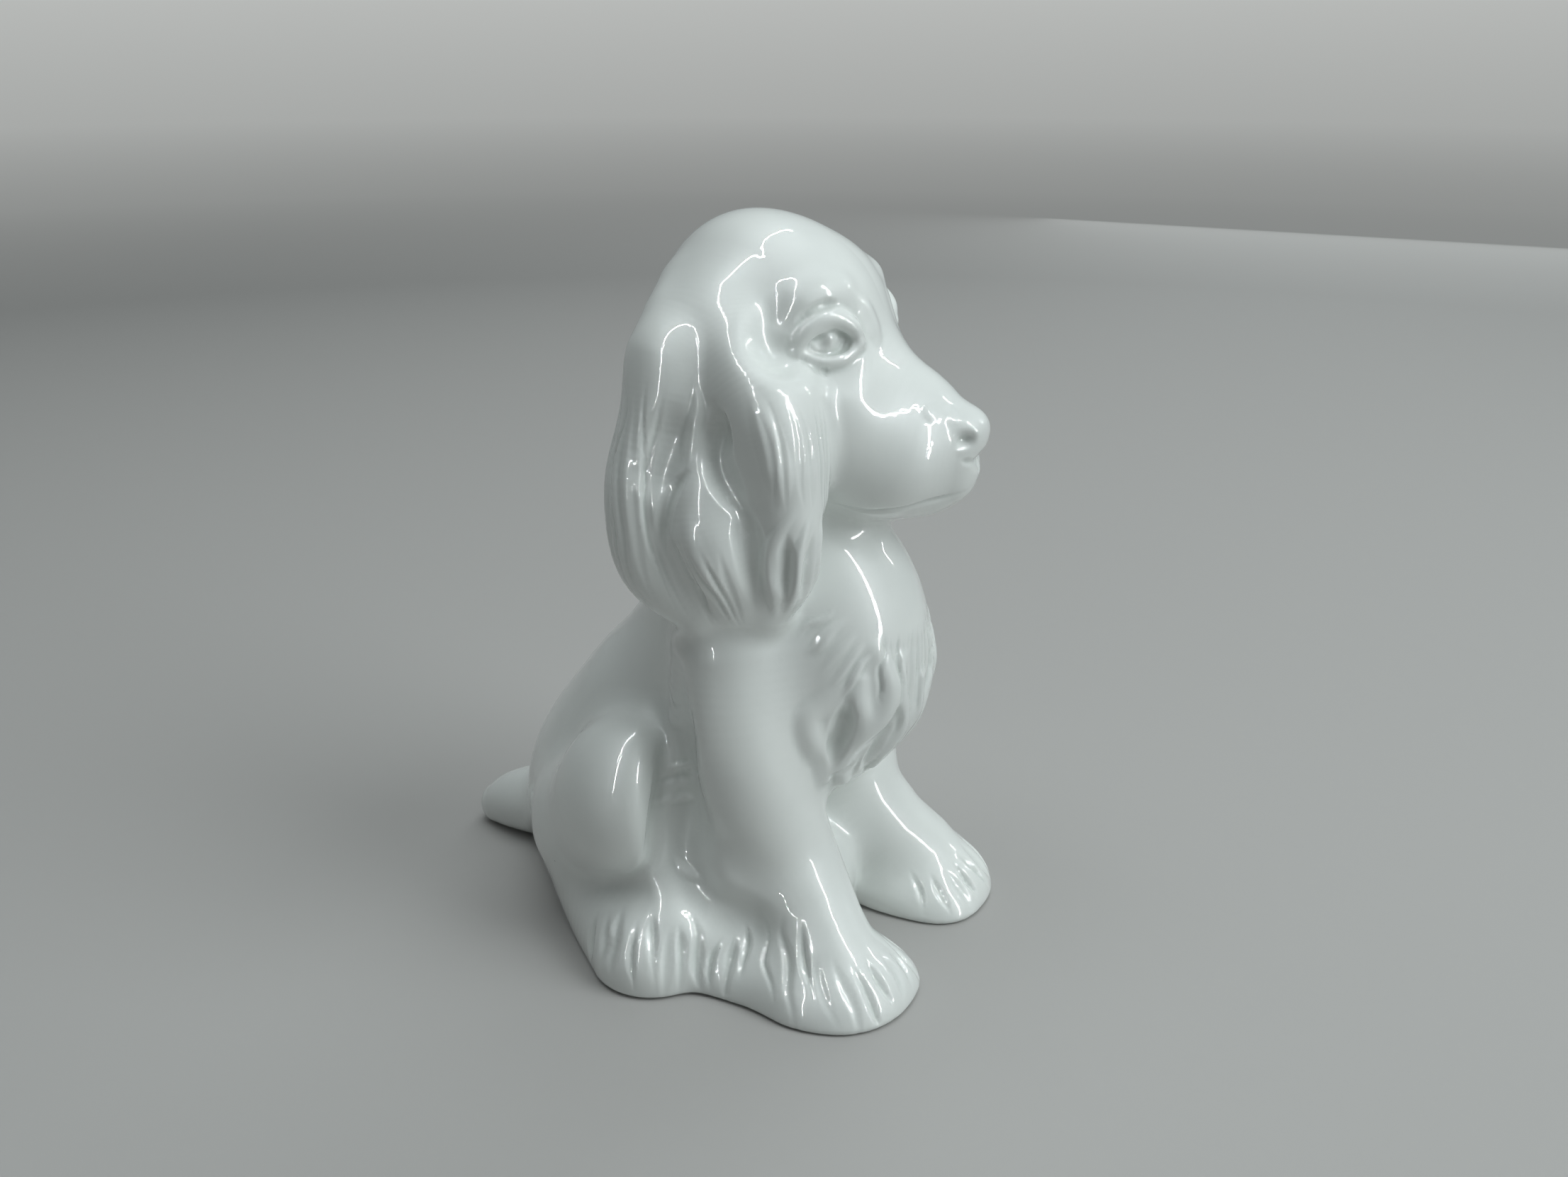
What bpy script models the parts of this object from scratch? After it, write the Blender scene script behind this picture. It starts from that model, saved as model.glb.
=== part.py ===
"""Sitting spaniel figurine in white glazed porcelain, 150 mm tall, as the nine castings it is luted from.

The dog looks along -Y, its left is +X and it stands on z = 0. As in a porcelain works, the whole dog is
first built up in clay from rounded forms. The clay model is then cut at flat seams, and each casting keeps
its own share of it. The body and head castings are hollow, and the small ones are solid.
"""

import math

import bmesh
import bpy
from mathutils import Euler, Matrix, Vector

MM = 0.001
LEFT = 1
RIGHT = -1
SIDES = ((LEFT, "left"), (RIGHT, "right"))

# Porcelain
WALL = 4.5 * MM
LUTE_GAP = 0.3 * MM
VENT_DIAMETER = 9.0 * MM
BASE_THICKNESS = 5.0 * MM

# Clay model
CLAY_GRAIN = 1.5 * MM
CLAY_SMOOTHING = 14
CLAY_DETAIL = 0.12
HOLLOW_GRAIN = 3.0 * MM
HOLLOW_SMOOTHING = 4
HOLLOW_DETAIL = 0.2

# Rump, centred this far behind the origin and this high
RUMP_WIDTH = 51.0 * MM
RUMP_DEPTH = 49.0 * MM
RUMP_HEIGHT = 52.0 * MM
RUMP_SETBACK = 15.5 * MM
RUMP_RISE = 20.0 * MM

# Torso, a spindle that leans forward from the rump
TORSO_WIDTH = 51.0 * MM
TORSO_DEPTH = 49.0 * MM
TORSO_LENGTH = 86.0 * MM
TORSO_LEAN = math.radians(33)
TORSO_FORWARD = 9.0 * MM
TORSO_LIFT = 15.5 * MM

# Chest, measured from the rump's centre
CHEST_WIDTH = 50.0 * MM
CHEST_DEPTH = 60.5 * MM
CHEST_HEIGHT = 70.0 * MM
CHEST_FORWARD = 39.0 * MM
CHEST_LIFT = 45.0 * MM

# Belly, low between haunch and foreleg
BELLY_WIDTH = 33.0 * MM
BELLY_HEIGHT = 46.0 * MM
BELLY_SPREAD = 18.0 * MM
BELLY_FORWARD = 31.0 * MM
BELLY_RISE = 14.0 * MM
KEEL_WIDTH = 26.0 * MM
KEEL_DEPTH = 44.0 * MM
KEEL_HEIGHT = 34.0 * MM
KEEL_FORWARD = 18.0 * MM
KEEL_RISE = 10.0 * MM

# Neck, from inside the chest to inside the skull
NECK_DIAMETER = 40.0 * MM
NECK_SETBACK = 13.5 * MM
NECK_ROOT_LIFT = 22.0 * MM
NECK_LENGTH = 24.0 * MM
NECK_REACH = 6.0 * MM
NECK_SEAM_LIFT = 25.0 * MM

# Head, turned to the dog's left about the neck
HEAD_TURN = math.radians(9.5)
SKULL_WIDTH = 44.0 * MM
SKULL_DEPTH = 46.0 * MM
SKULL_HEIGHT = 46.5 * MM
SKULL_FORWARD = 4.5 * MM
SKULL_LIFT = 16.0 * MM
CROWN_DIAMETER = 37.5 * MM
CROWN_SETBACK = 4.5 * MM
CROWN_LIFT = 5.0 * MM
BROW_DIAMETER = 18.0 * MM
BROW_SPREAD = 8.0 * MM
BROW_FORWARD = 10.5 * MM
BROW_LIFT = 5.5 * MM
CHEEK_WIDTH = 21.0 * MM
CHEEK_HEIGHT = 28.0 * MM
CHEEK_SPREAD = 12.0 * MM
CHEEK_FORWARD = 9.5 * MM
CHEEK_DROP = 11.0 * MM
MUZZLE_ROOT_DIAMETER = 33.0 * MM
MUZZLE_MIDDLE_DIAMETER = 28.0 * MM
MUZZLE_TIP_DIAMETER = 16.5 * MM
MUZZLE_LENGTH = 33.5 * MM
MUZZLE_DROP = 17.5 * MM
MUZZLE_ROOT_FORWARD = 9.5 * MM
MUZZLE_ROOT_DROP = 11.5 * MM
MUZZLE_MIDDLE_SHARE = 0.6
FLEW_WIDTH = 18.0 * MM
FLEW_DEPTH = 25.0 * MM
FLEW_HEIGHT = 21.0 * MM
FLEW_SPREAD = 8.0 * MM
FLEW_DROP = 3.0 * MM
JAW_DIAMETER = 21.0 * MM
CHIN_DIAMETER = 11.0 * MM
JAW_DROP = 9.5 * MM
JAW_ROOT_DROP = 12.5 * MM
NOSE_WIDTH = 12.5 * MM
NOSE_HEIGHT = 8.5 * MM
NOSE_FORWARD = 4.25 * MM
NOSE_LIFT = 3.5 * MM

# Ears, which hang from the sides of the skull
EAR_LENGTH = 54.0 * MM
EAR_BREADTH = 33.0 * MM
EAR_THICKNESS = 17.5 * MM
EAR_SPREAD = 22.5 * MM
EAR_DROP = 21.0 * MM
EAR_SETBACK = 3.5 * MM
EAR_LOCK_DIAMETER = 19.0 * MM
EAR_SEAM_SPREAD = 18.5 * MM
EAR_SEAM_DROP = 48.0 * MM

# Forelegs, one straight below each shoulder, with the paws on the ground
SHOULDER_SPREAD = 22.0 * MM
SHOULDER_LIFT = 5.0 * MM
SHOULDER_SETBACK = 1.5 * MM
ELBOW_HEIGHT = 50.0 * MM
ELBOW_FORWARD = 2.0 * MM
FOREARM_SPREAD = 16.5 * MM
FOREARM_HEIGHT = 27.0 * MM
FOREARM_FORWARD = 7.0 * MM
FORELEG_DIAMETER = 23.5 * MM
WRIST_DIAMETER = 20.5 * MM
WRIST_SPREAD = 18.0 * MM
WRIST_HEIGHT = 16.0 * MM
WRIST_SETBACK = 6.0 * MM
ANKLE_HEIGHT = 9.5 * MM
FORELEG_SEAM_HEIGHT = 34.0 * MM
FOREPAW_SPREAD = 22.0 * MM
FOREPAW_WIDTH = 33.0 * MM
FOREPAW_DEPTH = 28.0 * MM
FOREPAW_HEIGHT = 13.0 * MM
FOREPAW_RISE = 1.0 * MM
FOREPAW_FORWARD = 57.5 * MM
TOE_DIAMETER = 20.0 * MM
TOE_DEPTH = 24.0 * MM
TOE_SPREAD = 6.5 * MM
TOE_FORWARD = 8.5 * MM
OUTER_TOE_FORWARD = 6.0 * MM

# Hind legs, the haunch bulb with the foot under it
HAUNCH_WIDTH = 26.0 * MM
HAUNCH_DEPTH = 29.0 * MM
HAUNCH_HEIGHT = 37.0 * MM
HAUNCH_LEAN = math.radians(20)
HAUNCH_SPREAD = 28.0 * MM
HAUNCH_FORWARD = 15.5 * MM
HAUNCH_LIFT = 15.0 * MM
HIND_FOOT_DIAMETER = 27.5 * MM
HEEL_DIAMETER = 27.0 * MM
HEEL_SPREAD = 6.5 * MM
HEEL_SETBACK = 9.5 * MM
HEEL_RISE = 5.5 * MM
HOCK_SHARE = 0.53
HIND_FOOT_SPREAD = 32.0 * MM
HIND_FOOT_FORWARD = 24.5 * MM
HIND_FOOT_RISE = 3.5 * MM
WEB_DIAMETER = 26.5 * MM
WEB_SPREAD = 24.5 * MM
WEB_FORWARD = 42.5 * MM
WEB_RISE = 1.0 * MM
HIND_SEAM_SPREAD = 16.0 * MM
HIND_SEAM_MARGIN = 6.0 * MM
FLANK_SEAM_FORWARD = 40.5 * MM
FLANK_SEAM_LEAN = math.radians(11)

# Tail, lying on the ground behind the rump
TAIL_ROOT_DIAMETER = 20.0 * MM
TAIL_TIP_DIAMETER = 11.5 * MM
TAIL_LENGTH = 19.0 * MM
TAIL_SEAM_SETBACK = 25.0 * MM
TAIL_SEAM_WIDTH = 30.0 * MM
TAIL_SEAM_HEIGHT = 30.0 * MM
TAIL_SETBACK = 22.5 * MM
TAIL_TIP_RISE = 4.5 * MM
TAIL_MIDDLE_SHARE = 0.62

# Colours of the glaze, and how it shines
GLAZE_COLOUR = (0.80, 0.81, 0.79, 1.0)
GLAZE_ROUGHNESS = 0.12
GLAZE_IOR = 1.52

# Reach of the cutters past the dog, and how finely round forms are drawn
GROUND_BOX = 0.4
SEGMENTS = 32
RINGS = 20
LIMB_STEPS = 8
LIMB_ROUNDNESS = 6
CAP_WELD = 1e-6

# Centres that other forms are placed from
rump_at = Vector((0, RUMP_SETBACK, RUMP_RISE))
torso_at = rump_at + Vector((0, -TORSO_FORWARD, TORSO_LIFT))
chest_at = rump_at + Vector((0, -CHEST_FORWARD, CHEST_LIFT))
neck_root = chest_at + Vector((0, NECK_SETBACK, NECK_ROOT_LIFT))
neck_top = neck_root + Vector((0, -NECK_REACH, NECK_LENGTH))
neck_seam_height = chest_at.z + NECK_SEAM_LIFT
hind_seam_height = rump_at.z + HAUNCH_LIFT + HAUNCH_HEIGHT / 2 + HIND_SEAM_MARGIN
skull_at = Vector((0, -SKULL_FORWARD, SKULL_LIFT))
head_frame = Matrix.Translation(neck_top) @ Matrix.Rotation(HEAD_TURN, 4, "Z")
body_frame = Matrix.Identity(4)


def clear_scene():
    for thing in list(bpy.data.objects):
        bpy.data.objects.remove(thing, do_unlink=True)


def new_collection(name):
    collection = bpy.data.collections.new(name)
    bpy.context.scene.collection.children.link(collection)
    return collection


def new_object(name, mesh, collection):
    thing = bpy.data.objects.new(name, mesh)
    collection.objects.link(thing)
    return thing


def evaluated_mesh(thing):
    """The mesh of an object with its modifiers, or of a curve with its bevel, as new data."""
    graph = bpy.context.evaluated_depsgraph_get()
    return bpy.data.meshes.new_from_object(thing.evaluated_get(graph))


def mesh_from(shape, name):
    """Turns a finished bmesh into mesh data."""
    mesh = bpy.data.meshes.new(name)
    shape.to_mesh(mesh)
    shape.free()
    return mesh


class Clay:
    """Rounded forms laid over each other, in one mesh, before they are smoothed together."""

    def __init__(self):
        self.mesh = bmesh.new()

    def add(self, mesh, matrix):
        mesh.transform(matrix)
        self.mesh.from_mesh(mesh)
        bpy.data.meshes.remove(mesh)

    def ball(self, frame, at, size, turn=(0, 0, 0)):
        """An ellipsoid: where its centre lies in the frame, its width, depth and height, and how it turns."""
        sphere = bmesh.new()
        bmesh.ops.create_uvsphere(sphere, u_segments=SEGMENTS, v_segments=RINGS, radius=1)
        shape = Matrix.LocRotScale(Vector(at), Euler(turn), Vector(size) / 2)
        self.add(mesh_from(sphere, "ball"), frame @ shape)

    def limb(self, frame, points, diameters):
        """A round limb through the points, with its own thickness at each and a rounded end."""
        curve = bpy.data.curves.new("limb", "CURVE")
        curve.dimensions = "3D"
        curve.resolution_u = LIMB_STEPS
        curve.bevel_depth = 1
        curve.bevel_resolution = LIMB_ROUNDNESS
        curve.use_fill_caps = True
        spline = curve.splines.new("BEZIER")
        spline.bezier_points.add(len(points) - 1)
        for knot, at, diameter in zip(spline.bezier_points, points, diameters):
            knot.co = at
            knot.radius = diameter / 2
            knot.handle_left_type = "AUTO"
            knot.handle_right_type = "AUTO"
        guide = new_object("limb", curve, bpy.context.scene.collection)
        self.add(evaluated_mesh(guide), frame)
        bpy.data.objects.remove(guide)
        for at, diameter in ((points[0], diameters[0]), (points[-1], diameters[-1])):
            self.ball(frame, at, (diameter,) * 3)

    def finish(self, name, collection, grain, smoothing, detail):
        """The forms as one skin, made of voxels of the grain's size, smoothed and thinned to its detail."""
        bmesh.ops.remove_doubles(self.mesh, verts=self.mesh.verts, dist=CAP_WELD)
        thing = new_object(name, mesh_from(self.mesh, name), collection)
        skin = thing.modifiers.new("skin", "REMESH")
        skin.mode = "VOXEL"
        skin.voxel_size = grain
        smooth = thing.modifiers.new("smooth", "SMOOTH")
        smooth.iterations = smoothing
        thin = thing.modifiers.new("thin", "DECIMATE")
        thin.ratio = detail
        return thing


def mirrored(side, x, y, z):
    return Vector((side * x, y, z))


def add_body(clay):
    clay.ball(body_frame, rump_at, (RUMP_WIDTH, RUMP_DEPTH, RUMP_HEIGHT))
    clay.ball(body_frame, torso_at, (TORSO_WIDTH, TORSO_DEPTH, TORSO_LENGTH), (TORSO_LEAN, 0, 0))
    clay.ball(body_frame, chest_at, (CHEST_WIDTH, CHEST_DEPTH, CHEST_HEIGHT))
    clay.limb(body_frame, (neck_root, neck_top), (NECK_DIAMETER, NECK_DIAMETER))
    keel = Vector((0, rump_at.y - KEEL_FORWARD, KEEL_RISE))
    clay.ball(body_frame, keel, (KEEL_WIDTH, KEEL_DEPTH, KEEL_HEIGHT))
    for side in (LEFT, RIGHT):
        belly = mirrored(side, BELLY_SPREAD, rump_at.y - BELLY_FORWARD, BELLY_RISE)
        clay.ball(body_frame, belly, (BELLY_WIDTH, BELLY_WIDTH, BELLY_HEIGHT))


def add_head(clay):
    crown = skull_at + Vector((0, CROWN_SETBACK, CROWN_LIFT))
    muzzle_root = skull_at + Vector((0, -MUZZLE_ROOT_FORWARD, -MUZZLE_ROOT_DROP))
    muzzle_tip = skull_at + Vector((0, -MUZZLE_LENGTH, -MUZZLE_DROP))
    muzzle_middle = muzzle_root.lerp(muzzle_tip, MUZZLE_MIDDLE_SHARE)
    jaw_root = muzzle_root + Vector((0, 0, -JAW_ROOT_DROP))
    chin = muzzle_tip + Vector((0, 0, -JAW_DROP))
    nose = muzzle_tip + Vector((0, -NOSE_FORWARD, NOSE_LIFT))
    clay.ball(head_frame, skull_at, (SKULL_WIDTH, SKULL_DEPTH, SKULL_HEIGHT))
    clay.ball(head_frame, crown, (CROWN_DIAMETER,) * 3)
    clay.limb(
        head_frame,
        (muzzle_root, muzzle_middle, muzzle_tip),
        (MUZZLE_ROOT_DIAMETER, MUZZLE_MIDDLE_DIAMETER, MUZZLE_TIP_DIAMETER),
    )
    clay.limb(head_frame, (jaw_root, chin), (JAW_DIAMETER, CHIN_DIAMETER))
    clay.ball(head_frame, nose, (NOSE_WIDTH, NOSE_HEIGHT, NOSE_HEIGHT))
    for side in (LEFT, RIGHT):
        brow = mirrored(side, BROW_SPREAD, skull_at.y - BROW_FORWARD, skull_at.z + BROW_LIFT)
        cheek = mirrored(side, CHEEK_SPREAD, skull_at.y - CHEEK_FORWARD, skull_at.z - CHEEK_DROP)
        flew = mirrored(side, FLEW_SPREAD, muzzle_middle.y, muzzle_tip.z - FLEW_DROP)
        clay.ball(head_frame, brow, (BROW_DIAMETER,) * 3)
        clay.ball(head_frame, cheek, (CHEEK_WIDTH, CHEEK_HEIGHT, CHEEK_HEIGHT))
        clay.ball(head_frame, flew, (FLEW_WIDTH, FLEW_DEPTH, FLEW_HEIGHT))


def add_ear(clay, side):
    """The ear is a thick sheet with a front lock, a back lock and two low locks of hair laid over it."""
    centre = skull_at + Vector((side * EAR_SPREAD, EAR_SETBACK, -EAR_DROP))
    thick = EAR_THICKNESS / 2
    reach = EAR_BREADTH / 2
    half = EAR_LENGTH / 2
    lock = EAR_LOCK_DIAMETER
    clay.ball(head_frame, centre, (EAR_THICKNESS, EAR_BREADTH, EAR_LENGTH))

    def spot(out, forward, up):
        """A point on the ear, in shares of its thickness, breadth and length from its centre."""
        return centre + Vector((side * out * thick, -forward * reach, up * half))

    clay.limb(
        head_frame,
        (spot(-0.2, 0.0, 1.1), spot(0.3, 0.25, 0.85), spot(0.65, 0.6, 0.4), spot(0.65, 0.75, -0.1)),
        (lock * 0.75, lock * 0.95, lock, lock * 0.85),
    )
    clay.limb(
        head_frame,
        (
            spot(0.0, -0.5, 0.95),
            spot(0.4, -0.55, 0.42),
            spot(0.7, -0.6, -0.1),
            spot(0.7, -0.55, -0.6),
            spot(0.8, -0.1, -0.9),
        ),
        (lock * 0.75, lock * 0.95, lock * 1.06, lock, lock * 0.8),
    )
    clay.limb(
        head_frame,
        (spot(0.8, -0.05, 0.0), spot(1.0, 0.05, -0.45), spot(0.8, 0.25, -0.85)),
        (lock * 0.7, lock * 1.05, lock * 0.8),
    )
    clay.limb(
        head_frame,
        (spot(0.4, 0.8, -0.12), spot(0.4, 0.87, -0.55), spot(0.55, 0.55, -0.88)),
        (lock * 0.7, lock * 0.85, lock * 0.7),
    )


def add_foreleg(clay, side):
    shoulder = mirrored(side, SHOULDER_SPREAD, chest_at.y + SHOULDER_SETBACK, chest_at.z + SHOULDER_LIFT)
    elbow = mirrored(side, SHOULDER_SPREAD, shoulder.y - ELBOW_FORWARD, ELBOW_HEIGHT)
    forearm = mirrored(side, FOREARM_SPREAD, shoulder.y - FOREARM_FORWARD, FOREARM_HEIGHT)
    paw = mirrored(side, FOREPAW_SPREAD, rump_at.y - FOREPAW_FORWARD, FOREPAW_RISE)
    wrist = mirrored(side, WRIST_SPREAD, paw.y + WRIST_SETBACK, WRIST_HEIGHT)
    ankle = mirrored(side, FOREPAW_SPREAD, paw.y, ANKLE_HEIGHT)
    clay.limb(
        body_frame,
        (shoulder, elbow, forearm, wrist, ankle),
        (FORELEG_DIAMETER, FORELEG_DIAMETER, FORELEG_DIAMETER, WRIST_DIAMETER, WRIST_DIAMETER),
    )
    clay.ball(body_frame, paw, (FOREPAW_WIDTH, FOREPAW_DEPTH, 2 * (FOREPAW_HEIGHT - FOREPAW_RISE)))
    for out, ahead in ((-TOE_SPREAD, TOE_FORWARD), (0, TOE_FORWARD), (TOE_SPREAD, OUTER_TOE_FORWARD)):
        toe = paw + mirrored(side, out, -ahead, -FOREPAW_RISE)
        clay.ball(body_frame, toe, (TOE_DIAMETER, TOE_DEPTH, TOE_DIAMETER))


def add_hind_leg(clay, side):
    haunch = mirrored(side, HAUNCH_SPREAD, rump_at.y - HAUNCH_FORWARD, rump_at.z + HAUNCH_LIFT)
    toes = mirrored(side, HIND_FOOT_SPREAD, rump_at.y - HIND_FOOT_FORWARD, HIND_FOOT_RISE)
    heel = mirrored(side, HEEL_SPREAD, rump_at.y + HEEL_SETBACK, HEEL_RISE)
    web = mirrored(side, WEB_SPREAD, rump_at.y - WEB_FORWARD, WEB_RISE)
    clay.ball(body_frame, haunch, (HAUNCH_WIDTH, HAUNCH_DEPTH, HAUNCH_HEIGHT), (HAUNCH_LEAN, 0, 0))
    clay.limb(
        body_frame,
        (heel, heel.lerp(toes, HOCK_SHARE), toes),
        (HEEL_DIAMETER, (HEEL_DIAMETER + HIND_FOOT_DIAMETER) / 2, HIND_FOOT_DIAMETER),
    )
    clay.ball(body_frame, web, (WEB_DIAMETER, WEB_DIAMETER, WEB_DIAMETER))


def add_tail(clay):
    root = Vector((0, rump_at.y + TAIL_SETBACK, TAIL_ROOT_DIAMETER / 2))
    tip = Vector((0, root.y + TAIL_LENGTH, TAIL_TIP_RISE))
    clay.limb(
        body_frame,
        (root, root.lerp(tip, TAIL_MIDDLE_SHARE), tip),
        (TAIL_ROOT_DIAMETER, (TAIL_ROOT_DIAMETER + TAIL_TIP_DIAMETER) / 2, TAIL_TIP_DIAMETER),
    )


def build_model(cutters):
    """The whole dog in clay, cut flat where it stands."""
    clay = Clay()
    add_body(clay)
    add_head(clay)
    add_tail(clay)
    for side in (LEFT, RIGHT):
        add_ear(clay, side)
        add_foreleg(clay, side)
        add_hind_leg(clay, side)
    return clay.finish("clay_model", cutters, CLAY_GRAIN, CLAY_SMOOTHING, CLAY_DETAIL)


def build_hollow(cutters):
    """The space that the slip leaves inside the body, the neck and the skull, with the vent below it."""
    clay = Clay()
    walls = Vector((WALL, WALL, WALL)) * 2
    torso = Vector((TORSO_WIDTH, TORSO_DEPTH, TORSO_LENGTH)) - walls
    chest = Vector((CHEST_WIDTH, CHEST_DEPTH, CHEST_HEIGHT)) - walls
    skull = Vector((SKULL_WIDTH, SKULL_DEPTH, SKULL_HEIGHT)) - walls
    neck = NECK_DIAMETER - 2 * WALL
    clay.ball(body_frame, torso_at, torso, (TORSO_LEAN, 0, 0))
    clay.ball(body_frame, chest_at, chest)
    clay.limb(body_frame, (neck_root, neck_top), (neck, neck))
    clay.ball(head_frame, skull_at, skull)
    return clay.finish("hollow", cutters, HOLLOW_GRAIN, HOLLOW_SMOOTHING, HOLLOW_DETAIL)


def build_vent(cutters):
    """The round hole through the foot, which lets the slip out and the kiln's steam off."""
    drill = bmesh.new()
    bmesh.ops.create_cone(
        drill,
        cap_ends=True,
        segments=SEGMENTS,
        radius1=VENT_DIAMETER / 2,
        radius2=VENT_DIAMETER / 2,
        depth=2 * (BASE_THICKNESS + WALL),
        matrix=Matrix.Translation((0, rump_at.y, 0)),
    )
    return new_object("vent", mesh_from(drill, "vent"), cutters)


def box(name, cutters, frame, low, high, grow):
    """A box cutter between two corners, a little larger on every side."""
    low = Vector(low) - Vector((grow,) * 3)
    high = Vector(high) + Vector((grow,) * 3)
    solid = bmesh.new()
    shape = Matrix.LocRotScale((low + high) / 2, None, high - low)
    bmesh.ops.create_cube(solid, size=1, matrix=frame @ shape)
    return new_object(name, mesh_from(solid, name), cutters)


def side_box(name, cutters, frame, side, low, high, grow):
    """A box cutter on one side of the dog, given as it lies on the left."""
    ends = sorted((side * low[0], side * high[0]))
    return box(name, cutters, frame, (ends[0], low[1], low[2]), (ends[1], high[1], high[2]), grow)


def boolean(thing, name, operation, cutter):
    cut = thing.modifiers.new(name, "BOOLEAN")
    cut.operation = operation
    cut.solver = "MANIFOLD"
    cut.object = cutter


def seams(cutters, grow, label):
    """The boxes that part the small castings from the body and head, each larger by the growth."""
    far = GROUND_BOX / 2
    ear_foot = Matrix.Translation((0, 0, skull_at.z - EAR_SEAM_DROP))
    flank = Matrix.Translation((0, rump_at.y - FLANK_SEAM_FORWARD, 0)) @ Matrix.Rotation(
        -FLANK_SEAM_LEAN, 4, "X"
    )
    tail_seam = rump_at.y + TAIL_SEAM_SETBACK
    boxes = {}
    for side, word in SIDES:
        for name, frame, low, high in (
            ("ear", head_frame @ ear_foot, (EAR_SEAM_SPREAD, -far, 0), (far, far, far)),
            ("foreleg", flank, (LUTE_GAP / 2, -far, -far), (far, 0, FORELEG_SEAM_HEIGHT)),
            ("hind_leg", flank, (HIND_SEAM_SPREAD, LUTE_GAP, -far), (far, far, hind_seam_height)),
        ):
            node = word + "_" + name
            boxes[node] = side_box(node + label, cutters, frame, side, low, high, grow)
    boxes["tail"] = box(
        "tail" + label,
        cutters,
        body_frame,
        (-TAIL_SEAM_WIDTH / 2, tail_seam, -far),
        (TAIL_SEAM_WIDTH / 2, far, TAIL_SEAM_HEIGHT),
        grow,
    )
    return boxes


def glaze(name):
    material = bpy.data.materials.new(name)
    material.use_nodes = True
    shader = material.node_tree.nodes["Principled BSDF"]
    shader.inputs["Base Color"].default_value = GLAZE_COLOUR
    shader.inputs["Roughness"].default_value = GLAZE_ROUGHNESS
    shader.inputs["Metallic"].default_value = 0.0
    shader.inputs["IOR"].default_value = GLAZE_IOR
    return material


def casting(name, clay_mesh, collection, root):
    """One share of the clay, before it is cut, with its own glaze."""
    thing = new_object(name, clay_mesh.copy(), collection)
    thing.data.materials.append(glaze(name + "_glaze"))
    thing.parent = root
    return thing


def main():
    clear_scene()
    parts = new_collection("porcelain_spaniel")
    cutters = new_collection("cutters")
    root = new_object("spaniel", None, parts)

    ground = box("above_ground", cutters, body_frame, (-GROUND_BOX, -GROUND_BOX, 0), (GROUND_BOX,) * 3, 0)
    clay = build_model(cutters)
    boolean(clay, "stand", "INTERSECT", ground)
    clay_mesh = evaluated_mesh(clay)

    shares = seams(cutters, 0, "_share")
    cleared = seams(cutters, LUTE_GAP, "_clear")
    walled = seams(cutters, LUTE_GAP + WALL, "_wall")

    hollow = build_hollow(cutters)
    floor = box(
        "hollow_floor", cutters, body_frame, (-GROUND_BOX, -GROUND_BOX, BASE_THICKNESS), (GROUND_BOX,) * 3, 0
    )
    boolean(hollow, "floor", "INTERSECT", floor)
    for name, wall in walled.items():
        boolean(hollow, name, "DIFFERENCE", wall)
    hollow_mesh = evaluated_mesh(hollow)
    hollow_cutter = new_object("hollow_cutter", hollow_mesh, cutters)

    neck_high = (-GROUND_BOX, -GROUND_BOX, neck_seam_height + LUTE_GAP / 2)
    neck_low = (-GROUND_BOX, -GROUND_BOX, neck_seam_height - LUTE_GAP / 2)
    above_neck = box("above_neck", cutters, body_frame, neck_high, (GROUND_BOX,) * 3, 0)
    from_neck = box("from_neck", cutters, body_frame, neck_low, (GROUND_BOX,) * 3, 0)

    head = casting("head_casting", clay_mesh, parts, root)
    boolean(head, "neck_seam", "INTERSECT", above_neck)
    body = casting("body_casting", clay_mesh, parts, root)
    boolean(body, "neck_seam", "DIFFERENCE", from_neck)
    for name, share in shares.items():
        piece = casting(name, clay_mesh, parts, root)
        boolean(piece, "seam", "INTERSECT", share)
        boolean(body, name, "DIFFERENCE", cleared[name])
        if name.endswith("_ear"):
            boolean(head, name, "DIFFERENCE", cleared[name])
    for thing in (head, body):
        boolean(thing, "hollow", "DIFFERENCE", hollow_cutter)

    boolean(body, "vent", "DIFFERENCE", build_vent(cutters))

    for cutter in cutters.objects:
        cutter.hide_render = True
        cutter.display_type = "WIRE"


main()
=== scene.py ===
"""The looks of the porcelain spaniel: one sculpt in mesh code, parted at the castings' seams.

The dog faces -Y and its left is +X. The sculpt is worked out in millimetres in the row frame, from
smoothly joined forms, carved forms and fine strokes laid on the skin, and is scaled to metres when it
becomes a mesh. Each piece of it replaces the CAD casting of the same place.
"""

import math

import bmesh
import bpy
import numpy as np
import openvdb
from mathutils import Matrix, Vector
from mathutils.kdtree import KDTree


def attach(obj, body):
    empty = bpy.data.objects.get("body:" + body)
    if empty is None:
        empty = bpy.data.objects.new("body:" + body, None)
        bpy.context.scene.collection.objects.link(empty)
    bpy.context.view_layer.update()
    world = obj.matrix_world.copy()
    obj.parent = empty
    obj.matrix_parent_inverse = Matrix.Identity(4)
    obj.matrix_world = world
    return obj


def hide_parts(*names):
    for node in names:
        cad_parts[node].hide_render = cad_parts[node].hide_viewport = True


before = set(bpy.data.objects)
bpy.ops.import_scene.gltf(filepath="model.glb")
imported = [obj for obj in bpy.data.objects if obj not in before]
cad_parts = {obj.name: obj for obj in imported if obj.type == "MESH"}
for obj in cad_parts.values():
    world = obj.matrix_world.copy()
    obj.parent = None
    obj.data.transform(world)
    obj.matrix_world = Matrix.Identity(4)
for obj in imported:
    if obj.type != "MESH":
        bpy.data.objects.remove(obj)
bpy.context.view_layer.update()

MM = 0.001

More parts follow.
